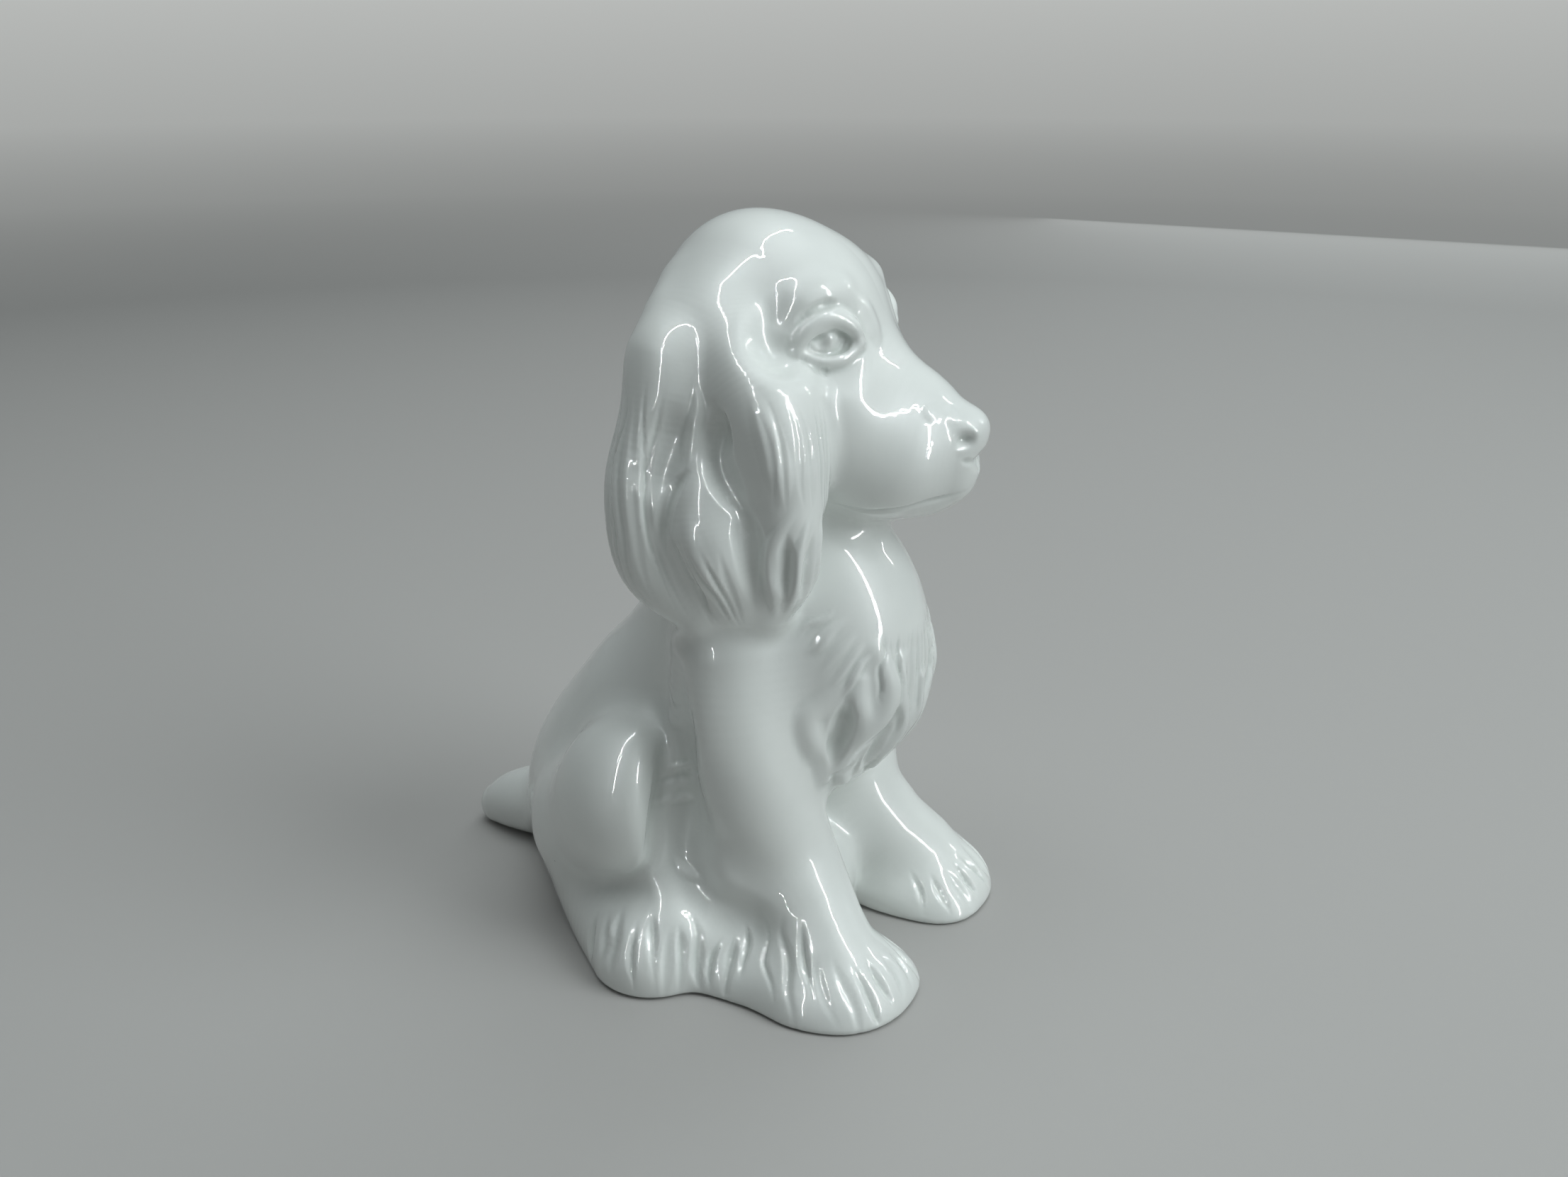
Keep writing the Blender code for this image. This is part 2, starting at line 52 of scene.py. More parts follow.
# Camera, as the photograph was taken
PHOTO_WIDTH = 2212
CAMERA_AT = (-240.4, -152.5, 180.0)
CAMERA_HEADING = (0.87878, 0.47716)
CAMERA_PITCH = math.radians(21)
FOCAL_PIXELS = 2025
SENSOR_WIDTH = 36.0
CAMERA_NEAR = 0.01

# Head frame: the head is turned to the dog's left about an upright line through the neck
HEAD_TURN = math.radians(9.5)
HEAD_PIVOT_Y = -16.0

# Flank frame: the seams of the legs lean forward with the chest
FLANK_ORIGIN_Y = -25.0
FLANK_LEAN = math.radians(-11)

# Seams between the castings
NECK_SEAM_Z = 90.0
EAR_SEAM_X = 18.35
EAR_SEAM_Z = 79.0
FORELEG_SEAM_UP = 34.15
HIND_SEAM_X = 15.85
HIND_SEAM_UP = 59.65
FLANK_SEAM_FORWARD = 0.15
TAIL_SEAM_Y = 40.35
TAIL_SEAM_HALF_WIDTH = 15.15
TAIL_SEAM_Z = 30.15

# Boxes round the castings' shares: they end at a seam, or else well past the dog
HEAD_SHARE = ((-90, -90, NECK_SEAM_Z), (90, 90, 170))
BODY_SHARE = ((-90, -90, -20), (90, 90, NECK_SEAM_Z))
EAR_SHARE = ((EAR_SEAM_X, -90, EAR_SEAM_Z), (80, 60, 160))
FORELEG_SHARE = ((0, -90, -40), (80, FLANK_SEAM_FORWARD, FORELEG_SEAM_UP))
HIND_LEG_SHARE = ((HIND_SEAM_X, FLANK_SEAM_FORWARD, -40), (80, 120, HIND_SEAM_UP))
TAIL_SHARE = ((-TAIL_SEAM_HALF_WIDTH, TAIL_SEAM_Y, -20), (TAIL_SEAM_HALF_WIDTH, 90, TAIL_SEAM_Z))

# Two skins: a finer upper one, from this far below the ears' seam up, gives the head and the ears, and
# a lower one, up to as far above the neck's seam, gives the rest. A grid's corners stand round each
SKIN_OVERLAP = 3.0
UPPER_GRID = ((-50, -72, 74), (50, 12, 153))
LOWER_GRID = ((-50, -66, -3), (50, 66, 95))
UPPER_NODES = ("head_casting", "left_ear", "right_ear")

# Mesh sizes: grid steps, and how far a point is moved at most each time it is drawn onto the skin
COARSE_STEP = 1.0
FINE_STEP = 0.7
PROJECTIONS = 2
PROJECTION_LIMIT = 0.5

# Grid: steps between its rough samples, and the band round the skin that is worked out in full, as a
# share of those steps and a margin
ROUGH_STEPS = 4
BAND_SHARE = 1.1
BAND_MARGIN = 0.8
BLOCK_SIZE = 200_000

# Cosines: above the first a face lies in a seam plane, and above the second a corner lies on the skin
SEAM_COSINE = 0.9999
SKIN_COSINE = 0.97

# Forms: steps along a limb, how far past its reach a form still counts, and the blends between groups
LIMB_STEPS = 10
CLAY_MARGIN = 14.0
CARVE_MARGIN = 3.0
SHOULDER_BLEND = 7
NECK_BLEND = 6
EAR_BLEND = 4
FOOT_BLEND = 1.5
FAR = 1000.0
TINY = 1e-9

# Strokes: steps between their points, how far these stray by chance, and the width of a stroke's ends
# as a share of its full width
CHANCE_SEED = 4
STROKE_STEPS = 5
WAVER = 1.5
END_WIDTH = 0.45
SNAP_TURNS = 4
SLOPE_STEP = 0.2

# Glaze colours
CLEAR_WHITE = (0.80, 0.825, 0.80)
CLOUDED = (0.765, 0.79, 0.77)
# The darker, cooler colour of grooves: partly glaze that pools there, partly painted shade
POOLED_AND_SHADED = (0.56, 0.61, 0.575)
PINHOLE = (0.10, 0.09, 0.08)

# Glaze patterns: how often each repeats in a metre, the values between which it fades, and its strength
CLOUDS_PER_METRE = 45.0
CLOUD_FADE = (0.35, 0.65)
# How grooves are darkened, partly as pooled glaze and partly as painted shade
POOL_AND_SHADE_FADE = (0.46, 0.5)
POOL_AND_SHADE_STRENGTH = 0.6
PINHOLES_PER_METRE = 150.0
PINHOLE_EDGE = (0.02, 0.035)
PINHOLE_CHOICE = (0.9, 0.91)
PINHOLE_STRENGTH = 0.75
RIPPLES_PER_METRE = 260.0
RIPPLE_STRENGTH = 0.5
RIPPLE_HEIGHT = 0.00006

# Glaze finish: the white clay's roughness follows the clouds, and a clear coat lies over it
CLAY_FADE = (0.3, 0.7)
CLAY_ROUGHNESS = (0.34, 0.46)
CLAY_IOR = 1.5
COAT_WEIGHT = 1.0
COAT_ROUGHNESS = 0.01
COAT_IOR = 1.52

# Stage: radius and height of each ring, in metres
TABLE_RADIUS = 0.9
TABLE_PROFILE = ((0.001, 0), (TABLE_RADIUS, 0))
BACKDROP_PROFILE = ((TABLE_RADIUS, 0), (1.6, 0), (2.2, 0.06), (2.7, 0.32), (3.0, 0.9), (3.1, 1.9))
STAGE_SIDES = 96
STAGE_COLOUR = (0.42, 0.41, 0.40)
STAGE_ROUGHNESS = 0.7
# The backdrop's painted glow, which grows towards its top: it is no lamp and lights nothing
BACKDROP_GLOW = 0.7
BACKDROP_GLOW_COLOUR = (0.8, 0.82, 0.8)

# Room: its glow on the dog, and the brighter glow that the glaze mirrors
ROOM_COLOUR = (0.84, 0.9, 0.9)
ROOM_GLOW = 0.03
MIRRORED_ROOM_GLOW = 0.3

# Soft lamps, square: place and side in metres, power in watts, and the direction of a side
DOG_MIDDLE = (0, 0, 0.08)
LAMP_COLOUR = (0.93, 1.0, 1.01)
ALONG_X = (1, 0, 0)
ALONG_Y = (0, 1, 0)
UPRIGHT = (0, 0, 1)
SOFT_LAMPS = (
    ("soft_top", (0, 0, 1.3), 1.0, 6.6, ALONG_X),
    ("soft_front_top", (0.1, -0.9, 0.95), 0.7, 6.8, ALONG_X),
    ("soft_left_top", (0.9, 0, 0.95), 0.7, 2.2, ALONG_Y),
    ("soft_front_low", (0, -1.2, 0.35), 0.7, 3.0, ALONG_X),
    ("soft_left_low", (1.2, 0, 0.35), 0.7, 1.2, ALONG_Y),
    ("soft_back", (-0.3, 1.2, 0.45), 0.7, 0.3, ALONG_X),
    ("soft_right_top", (-0.35, 0.4, 1.2), 0.7, 1.3, ALONG_X),
)

# Thin strips that the glaze mirrors: place and length in metres, and the direction of the length
STRIP_WIDTH = 0.008
STRIP_WATTS_PER_METRE = 4.0
STRIPS = (
    ("strip_top", (-0.2, 0.1, 1.2), 2.2, ALONG_X),
    ("strip_front_left", (-0.03, -1.2, 0.7), 1.4, UPRIGHT),
    ("strip_front_right", (-0.07, -1.2, 0.7), 1.4, UPRIGHT),
    ("strip_brow", (0.95, -0.85, 0.75), 0.5, UPRIGHT),
    ("strip_side", (-1.2, 0, 0.6), 1.2, UPRIGHT),
)


def turn_matrix(degrees):
    """Rotation about X, then Y, then Z, as a 3 by 3 array."""
    about_x, about_y, about_z = np.radians(degrees)
    cos, sin = np.cos, np.sin
    x = np.array([[1, 0, 0], [0, cos(about_x), -sin(about_x)], [0, sin(about_x), cos(about_x)]])
    y = np.array([[cos(about_y), 0, sin(about_y)], [0, 1, 0], [-sin(about_y), 0, cos(about_y)]])
    z = np.array([[cos(about_z), -sin(about_z), 0], [sin(about_z), cos(about_z), 0], [0, 0, 1]])
    return z @ y @ x


def curve_through(points, steps):
    """A smooth curve through rows of numbers, with that many steps between neighbours."""
    rows = np.array(points, float)
    if len(rows) < 3:
        share = np.linspace(0, 1, steps + 1)[:, None]
        return rows[0] * (1 - share) + rows[-1] * share
    ends = np.concatenate([[2 * rows[0] - rows[1]], rows, [2 * rows[-1] - rows[-2]]])
    out = []
    for before, start, stop, after in zip(ends, ends[1:], ends[2:], ends[3:]):
        for t in np.arange(steps) / steps:
            square = 2 * before - 5 * start + 4 * stop - after
            cube = 3 * start - before - 3 * stop + after
            out.append(0.5 * (2 * start + (stop - before) * t + square * t**2 + cube * t**3))
    out.append(rows[-1])
    return np.array(out)


class Form:
    """A rounded form of clay. blend is how widely it flows into the rest, and carve cuts it out of that."""

    def __init__(self, blend, pair, carve):
        self.blend = blend
        self.pair = pair
        self.carve = carve


class Ball(Form):
    """An ellipsoid. pair repeats it on the dog's right."""

    def __init__(self, centre, radii, turn=(0, 0, 0), blend=4.0, pair=False, carve=False):
        super().__init__(blend, pair, carve)
        self.middle = np.array(centre, float)
        self.radii = np.array(radii, float)
        self.axes = turn_matrix(turn)
        self.reach = self.radii.max()

    def distance(self, points):
        """About how far each point is from the ellipsoid."""
        local = (points - self.middle) @ self.axes
        size = np.linalg.norm(local / self.radii, axis=1)
        slope = np.linalg.norm(local / self.radii**2, axis=1)
        return size * (size - 1) / np.maximum(slope, TINY)


class Limb(Form):
    """A tapered round limb through points. pair repeats it on the dog's right."""

    def __init__(self, points, radii, blend=4.0, pair=False, carve=False):
        super().__init__(blend, pair, carve)
        rows = [(*point, radius) for point, radius in zip(points, radii)]
        path = curve_through(rows, LIMB_STEPS)
        self.path = path[:, :3]
        self.radii = path[:, 3]
        low, high = self.path.min(0), self.path.max(0)
        self.middle = (low + high) / 2
        self.reach = np.linalg.norm(high - low) / 2 + self.radii.max()

    def distance(self, points):
        """How far each point is from the limb."""
        best = np.full(len(points), FAR)
        stretches = zip(self.path[:-1], self.path[1:], self.radii[:-1], self.radii[1:])
        for start, stop, thick, next_thick in stretches:
            along = stop - start
            offset = points - start
            share = np.clip((offset @ along) / (along @ along), 0, 1)
            gap = np.linalg.norm(offset - share[:, None] * along, axis=1)
            best = np.minimum(best, gap - (thick + share * (next_thick - thick)))
        return best


def joined(a, b, blend):
    """The smooth union of two distances."""
    share = np.maximum(blend - np.abs(a - b), 0) / blend
    return np.minimum(a, b) - share * share * blend / 4


def shared(a, b, blend):
    """The smooth overlap of two distances."""
    return -joined(-a, -b, blend)


def clay(points, forms):
    """The distance from points to the forms alone."""
    return clay_onto(np.full(len(points), FAR), points, forms)


def clay_onto(base, points, forms):
    """A distance with the forms added to it and carved out of it, in their order."""
    out = base.copy()
    paired = points.copy()
    paired[:, 0] = np.abs(paired[:, 0])
    for form in forms:
        places = paired if form.pair else points
        margin = CARVE_MARGIN if form.carve else CLAY_MARGIN
        near = ((places - form.middle) ** 2).sum(1) < (form.reach + margin + form.blend) ** 2
        if not near.any():
            continue
        distance = form.distance(places[near])
        if form.carve:
            out[near] = shared(out[near], -distance, form.blend)
        else:
            out[near] = joined(out[near], distance, form.blend)
    return out


def turned(points, angle):
    """Places turned about the upright line through the neck."""
    cos, sin = math.cos(angle), math.sin(angle)
    x, y = points[:, 0], points[:, 1] - HEAD_PIVOT_Y
    return np.stack([x * cos - y * sin, y * cos + x * sin + HEAD_PIVOT_Y, points[:, 2]], 1)


def to_head(points):
    """Row frame places as head frame places."""
    return turned(points, -HEAD_TURN)


def from_head(points):
    """Head frame places as row frame places."""
    return turned(points, HEAD_TURN)


HEAD_MATRIX = (
    Matrix.Translation((0, HEAD_PIVOT_Y, 0))
    @ Matrix.Rotation(HEAD_TURN, 4, "Z")
    @ Matrix.Translation((0, -HEAD_PIVOT_Y, 0))
)
FLANK_MATRIX = Matrix.Translation((0, FLANK_ORIGIN_Y, 0)) @ Matrix.Rotation(FLANK_LEAN, 4, "X")
ROW_MATRIX = Matrix.Identity(4)

# Directions that the seam planes face, in the row frame and then in those of the head and the flank
SEAM_AXES = np.array(
    [(1, 0, 0), (0, 1, 0), (0, 0, 1)]
    + [tuple(HEAD_MATRIX.to_3x3() @ Vector(axis)) for axis in ((1, 0, 0), (0, 1, 0))]
    + [tuple(FLANK_MATRIX.to_3x3() @ Vector(axis)) for axis in ((0, 1, 0), (0, 0, 1))]
)

# Torso, rump, chest, neck, haunch and its rear, foot and base, belly, webs and tail
TRUNK = [
    Ball((0, 6.5, 35.5), (25, 24.5, 43), turn=(33, 0, 0), blend=6),
    Ball((0, 15, 20), (25, 23.5, 25), blend=10),
    Ball((0, -23, 65), (24, 30, 34), blend=10),
    Limb([(0, -10, 92), (0, -16, 110)], [19, 18], blend=12),
    Ball((28, 0.5, 35), (12.5, 14.5, 18), turn=(20, 0, 0), blend=7, pair=True),
    Ball((24, 13, 22), (9.5, 12, 14), blend=8, pair=True),
    Limb([(6, 24, 5), (20.5, 8, 5), (32, -9, 3.5)], [12, 12.5, 13.4], blend=6, pair=True),
    Ball((18, -16, 14), (16, 16, 22), blend=8, pair=True),
    Ball((0, -16, 10), (13, 22, 17), blend=8),
    Ball((24.5, -27, 1), (12.5, 12, 10), blend=6, pair=True),
    Limb([(0, 38, 10), (0, 50, 7), (0, 56.5, 4.5)], [9.5, 7.5, 5.4], blend=7),
]
# Each foreleg with its paw and three bulges of toes
FORELEGS = [
    Limb(
        [(22, -22, 70), (22, -24, 50), (16.5, -29, 27), (18, -36, 16), (21.5, -43, 9)],
        [11, 12, 11.5, 10.5, 9.5],
        blend=7,
        pair=True,
    ),
    Ball((22, -42, 1), (16, 14, 12), blend=5, pair=True),
    Ball((16, -50.5, -1), (9.5, 10.8, 9), blend=4, pair=True),
    Ball((22.5, -49.8, 0), (10, 11.7, 11), blend=4, pair=True),
    Ball((27.5, -47.5, -1), (9.5, 11.5, 9.5), blend=4, pair=True),
]
# The flank is hollow between the haunch and the foreleg
FLANK_HOLLOW = [
    Limb(
        [(33.5, -14, 66), (33, -15, 56), (32.6, -14.6, 45), (32.4, -15.5, 34)]
        + [(33, -17, 25), (33, -22.5, 18.5), (31.6, -31, 16)],
        [2.4, 4.2, 4.6, 5.0, 4.2, 3.2, 1.8],
        blend=5,
        pair=True,
        carve=True,
    ),
    Limb([(34, -9, 60), (33, -2, 59), (31, 6, 57)], [3.0, 3.6, 2.4], blend=5, pair=True, carve=True),
]

# The eyes look out and forward from shallow orbits, under a rolled brow
EYE_AT = np.array((17.0, -34.9, 129.8))
EYE_LOOK = np.array((0.755, -0.655, 0.03))

# Skull, crown, muzzle, flews, jaw, nose, brows and cheeks, with the orbits and temples carved away
SKULL = [
    Ball((0, -20.2, 126), (21.3, 22, 23), blend=6),
    Ball((0, -14, 130), (17, 16, 19), blend=6),
    Limb([(0, -30, 114.5), (0, -44, 110.5), (0, -53.6, 108.2)], [16, 13, 7.6], blend=8),
    Ball((8, -42, 105), (9, 12, 10), blend=6, pair=True),
    Limb([(0, -36, 103), (0, -48.5, 100.5), (0, -54.5, 101.5)], [10, 7, 5], blend=5),
    Ball((0, -57.8, 111.6), (5.4, 4.2, 3.8), blend=3),
    Ball((8, -28.8, 132.4), (8, 7, 7.6), blend=8, pair=True),
    Ball((12, -30, 115), (10, 13, 13), blend=8, pair=True),
    Ball(
        EYE_AT + EYE_LOOK * 7.6 + np.array((0, 0, 0.8)),
        (9.6, 9.6, 8.8),
        blend=4,
        pair=True,
        carve=True,
    ),
    Ball((25.5, -29.5, 132), (6.5, 5, 6.5), blend=4.5, pair=True, carve=True),
]

# Temples, brow rolls, eyeballs, upper and lower lids, nostrils, pupils and the hollow under the nose
FACE = [
    Ball((25.3, -29.8, 131.4), (5.4, 4.8, 6), blend=5, pair=True, carve=True),
    Limb(
        [(18.4, -28.5, 131), (16.5, -30.2, 135), (13, -33, 137.3), (10.6, -35.3, 137.6)],
        [1.2, 1.6, 1.4, 0.8],
        blend=5,
        pair=True,
    ),
    Ball(EYE_AT - EYE_LOOK * 4.7, (5.2, 5.2, 4.8), blend=0.8, pair=True),
    Limb(
        [(19.2, -30.4, 127.9), (18.5, -31.6, 130.9), (16.6, -33.6, 132.9), (14.3, -36.2, 133.1)]
        + [(12.5, -38.8, 131.4), (11.7, -40.0, 129.0)],
        [0.9, 1.7, 2.0, 2.0, 1.6, 0.8],
        blend=1.4,
        pair=True,
    ),
    Limb(
        [(19.0, -31.0, 127.6), (18.4, -33.4, 126.3), (16.7, -35.9, 125.9), (14.3, -38.3, 126.6)]
        + [(12.1, -39.8, 128.3)],
        [0.7, 1.0, 1.1, 1.0, 0.7],
        blend=1.4,
        pair=True,
    ),
    Ball((5.8, -59.2, 110.6), (1.5, 1.6, 1.0), turn=(0, 0, 20), blend=1.6, pair=True, carve=True),
    Ball(
        EYE_AT + EYE_LOOK * 1.4 + np.array((0.3, 0.6, -0.6)),
        (1.6, 1.6, 1.5),
        blend=0.9,
        pair=True,
        carve=True,
    ),
    Ball((0, -62.6, 105.6), (5.5, 2.4, 1.8), blend=1.6, carve=True),
]

# Each ear's leaf, root and nape, then its locks: front, forward, back and low
EARS = [
    Ball((22.6, -16, 102.6), (9.2, 17.6, 23.2), turn=(0, 3, 0), blend=6, pair=True),
    Limb([(12, -14, 131.5), (18, -12, 130), (23, -9, 124.5)], [9, 8, 6.8], blend=8, pair=True),
    Limb([(10, -5.5, 136), (16, -5.4, 132), (22, -6.8, 127)], [4.5, 5, 5.2], blend=7, pair=True),
    Limb(
        [(16.5, -16.5, 134), (22, -21, 128), (26.5, -27, 119.5), (28, -30.2, 111), (28, -31.4, 103.5)]
        + [(28, -31.8, 96), (27.4, -31, 88.5), (26, -27.6, 81.5)],
        [6.0, 6.6, 7.6, 7.2, 6.4, 6.0, 5.8, 4.6],
        blend=6,
        pair=True,
    ),
    Limb(
        [(19.5, -23.5, 129.5), (21.5, -27.4, 126), (23.4, -30.6, 120), (24.2, -32.6, 111.5)]
        + [(23.8, -33, 104)],
        [3.2, 4.4, 5.2, 5.2, 4.4],
        blend=4,
        pair=True,
    ),
    Limb(
        [(23.4, -8, 125), (26.5, -6.8, 115), (29, -4.8, 102), (29, -6.6, 89), (28.5, -15, 81)],
        [6, 7, 7.8, 7.6, 6],
        blend=6,
        pair=True,
    ),
    Limb(
        [(29, -18.4, 109), (30.6, -17.6, 102), (31.4, -19.6, 93), (29, -22.5, 84.5)],
        [3.4, 6.2, 6.8, 5],
        blend=5,
        pair=True,
    ),
]

# Locks of the bib, from its sides to its middle
BIB = [
    Limb(
        [(16, -42, 64), (18, -39.6, 61), (19.6, -37.6, 58), (18.6, -38, 53), (16, -39, 49), (14, -38.4, 43)],
        [0.8, 1.5, 2.0, 2.0, 1.7, 1.0],
        blend=2.4,
        pair=True,
    ),
    Limb(
        [(14.2, -46, 65.5), (14.2, -45.6, 62), (13.2, -46, 58), (12.4, -45.6, 54)],
        [0.8, 1.6, 1.8, 0.8],
        blend=1.8,
        pair=True,
    ),
    Limb(
        [(11, -47.5, 71), (9.6, -49.3, 66), (9, -49.8, 62), (9.8, -48.6, 57.5), (12, -45.6, 53.5)]
        + [(12.8, -42.6, 50), (11.6, -40.6, 45), (8.5, -40, 40)],
        [1.0, 1.8, 2.3, 2.4, 2.0, 1.8, 1.6, 1.0],
        blend=2.4,
        pair=True,
    ),
    Limb(
        [(6.4, -51, 68), (6.8, -50.8, 63), (5.2, -50.8, 57), (3.8, -50, 52), (4.2, -48, 48), (4, -44.6, 43)],
        [0.8, 1.5, 1.7, 1.6, 1.4, 0.9],
        blend=2,
        pair=True,
    ),
    Limb([(0, -52.6, 62), (0, -51.4, 55), (0.6, -48, 48)], [0.8, 1.8, 1.2], blend=2, pair=True),
]


def sculpt(points):
    """The distance from row frame places to the whole dog."""
    distance = clay(points, TRUNK)
    distance = joined(distance, clay(points, FORELEGS), SHOULDER_BLEND)
    distance = clay_onto(distance, points, FLANK_HOLLOW + BIB)
    head_points = to_head(points)
    distance = joined(distance, clay(head_points, SKULL), NECK_BLEND)
    distance = joined(distance, clay(head_points, EARS), EAR_BLEND)
    distance = clay_onto(distance, head_points, FACE)
    return shared(distance, -points[:, 2], FOOT_BLEND)


def slope_of(points):
    """The direction in which the sculpt's distance grows."""
    out = np.zeros_like(points)
    for axis in range(3):
        step = np.zeros(3)
        step[axis] = SLOPE_STEP
        out[:, axis] = sculpt(points + step) - sculpt(points - step)
    return out / np.maximum(np.linalg.norm(out, axis=1), TINY)[:, None]


def snapped(points):
    """Places moved onto the sculpt's skin."""
    for _ in range(SNAP_TURNS):
        points = points - slope_of(points) * sculpt(points)[:, None]
    return points


class Strokes:
    """Fine grooves and ridges on the skin, kept as short straight runs with a width and a height each."""

    def __init__(self, seed):
        self.chance = np.random.default_rng(seed)
        self.lines = []

    def add(self, points, width, height, head=False, pair=True, fade=0.25, vary=0.15):
        """A stroke through places near the skin. Height below zero is a groove, and fade is the share
        of the length over which each end dies away."""
        for side in (1, -1) if pair else (1,):
            wide = width * (1 + vary * self.chance.uniform(-1, 1))
            high = height * (1 + vary * self.chance.uniform(-1, 1))
            shift = WAVER * vary * self.chance.uniform(-1, 1, (len(points), 3))
            rows = curve_through(np.array(points, float) + shift, STROKE_STEPS)
            rows[:, 0] *= side
            self.lines.append((from_head(rows) if head else rows, wide, high, fade))

    def comb(self, first, last, count, width, height, **options):
        """Strokes that run evenly spread from one line to another with as many points."""
        first, last = np.array(first, float), np.array(last, float)
        for share in np.linspace(0, 1, count):
            self.add(first * (1 - share) + last * share, width, height, **options)

    def runs(self):
        """Every stroke snapped onto the skin: its points, widths and heights along it."""
        lengths = [len(line[0]) for line in self.lines]
        places = snapped(np.concatenate([line[0] for line in self.lines]))
        out = []
        start = 0
        for (_, wide, high, fade), length in zip(self.lines, lengths):
            share = np.linspace(0, 1, length)
            ends = np.clip(np.minimum(share, 1 - share) / max(fade, TINY), 0, 1)
            swell = ends * ends * (3 - 2 * ends)
            widths = wide * (END_WIDTH + (1 - END_WIDTH) * swell)
            out.append((places[start : start + length], widths, high * swell))
            start += length
        return out


def relief(points, runs):
    """How far each point stands out of the skin because of the strokes."""
    order = np.argsort(points[:, 2])
    heights = points[order, 2]
    out = np.zeros(len(points))
    for places, widths, highs in runs:
        reach = widths.max()
        low, high = places.min(0) - reach, places.max(0) + reach
        first, last = np.searchsorted(heights, (low[2], high[2]))
        index = order[first:last]
        spot = points[index]
        inside = ((spot[:, :2] > low[:2]) & (spot[:, :2] < high[:2])).all(1)
        index = index[inside]
        if not len(index):
            continue
        spot = points[index]
        best = np.zeros(len(index))
        nearest = np.full(len(index), FAR)
        for start, stop, wide, next_wide, tall, next_tall in zip(
            places[:-1], places[1:], widths[:-1], widths[1:], highs[:-1], highs[1:]
        ):
            along = stop - start
            offset = spot - start
            share = np.clip((offset @ along) / max(along @ along, TINY), 0, 1)
            gap = np.linalg.norm(offset - share[:, None] * along, axis=1)
            closer = gap < nearest
            nearest[closer] = gap[closer]
            width = wide + share * (next_wide - wide)
            bump = np.maximum(1 - (gap / width) ** 2, 0) ** 2 * (tall + share * (next_tall - tall))
            best[closer] = bump[closer]
        out[index] += best
    return out


def face_strokes(strokes):
    """Mouth, nose and eyes."""
    mouth = [(14.5, -33.5, 99.6), (14, -38, 98.6), (13.5, -42, 98.5), (12.5, -46.5, 98.8), (10, -50.8, 99)]
    mouth += [(6.5, -54.6, 99.2), (3.6, -57.4, 100), (0.8, -59.6, 101.2)]
    strokes.add(mouth, 1.3, -0.6, head=True, fade=0.45)
    strokes.add([(5.4, -57.4, 107), (3, -59.6, 106.2), (0.4, -60.6, 105.8)], 1.0, -0.35, head=True)
    strokes.add([(0, -61.4, 108), (0, -60.8, 105.5), (0, -60.4, 102.6)], 1.0, -0.5, head=True, pair=False)
    wing = [(8.8, -50.4, 114.2), (7.2, -52.6, 115.2), (5.6, -55, 114.8), (4.8, -57.4, 113)]
    strokes.add(wing, 2.2, 0.3, head=True)
    strokes.add([(18.8, -30.8, 126.4), (18.4, -33.4, 124.3), (16.4, -36, 123.8)], 1.6, -0.35, head=True)
    crease = [(18.8, -29.6, 130.6), (17.4, -31.2, 134), (15, -33.8, 135.6), (12.6, -36.4, 135.6)]
    strokes.add(crease, 1.7, -0.6, head=True, vary=0, fade=0.35)
    # The fold that runs down from the brow stands higher on the dog's right
    for side, height in ((-1, 0.7), (1, 0.25)):
        ridge = [(side * 10.4, -36.2, 137.2), (side * 7.8, -39, 134)]
        ridge += [(side * 7, -40.6, 130), (side * 7.8, -41.6, 126)]
        strokes.add(ridge, 3.2, height, head=True, pair=False, vary=0, fade=0.4)
    upper_lid = [(18.8, -31.2, 128), (17.8, -32.8, 129.8), (15.8, -34.8, 130.8)]
    upper_lid += [(13.6, -37.2, 130.6), (12.2, -39.2, 129.2)]
    strokes.add(upper_lid, 1.0, -0.45, head=True, vary=0)
    lower_lid = [(18.6, -32.2, 127.6), (16.8, -35.2, 126.9), (14.6, -37.6, 127.4), (12.4, -39.2, 128.8)]
    strokes.add(lower_lid, 0.9, -0.3, head=True, vary=0)


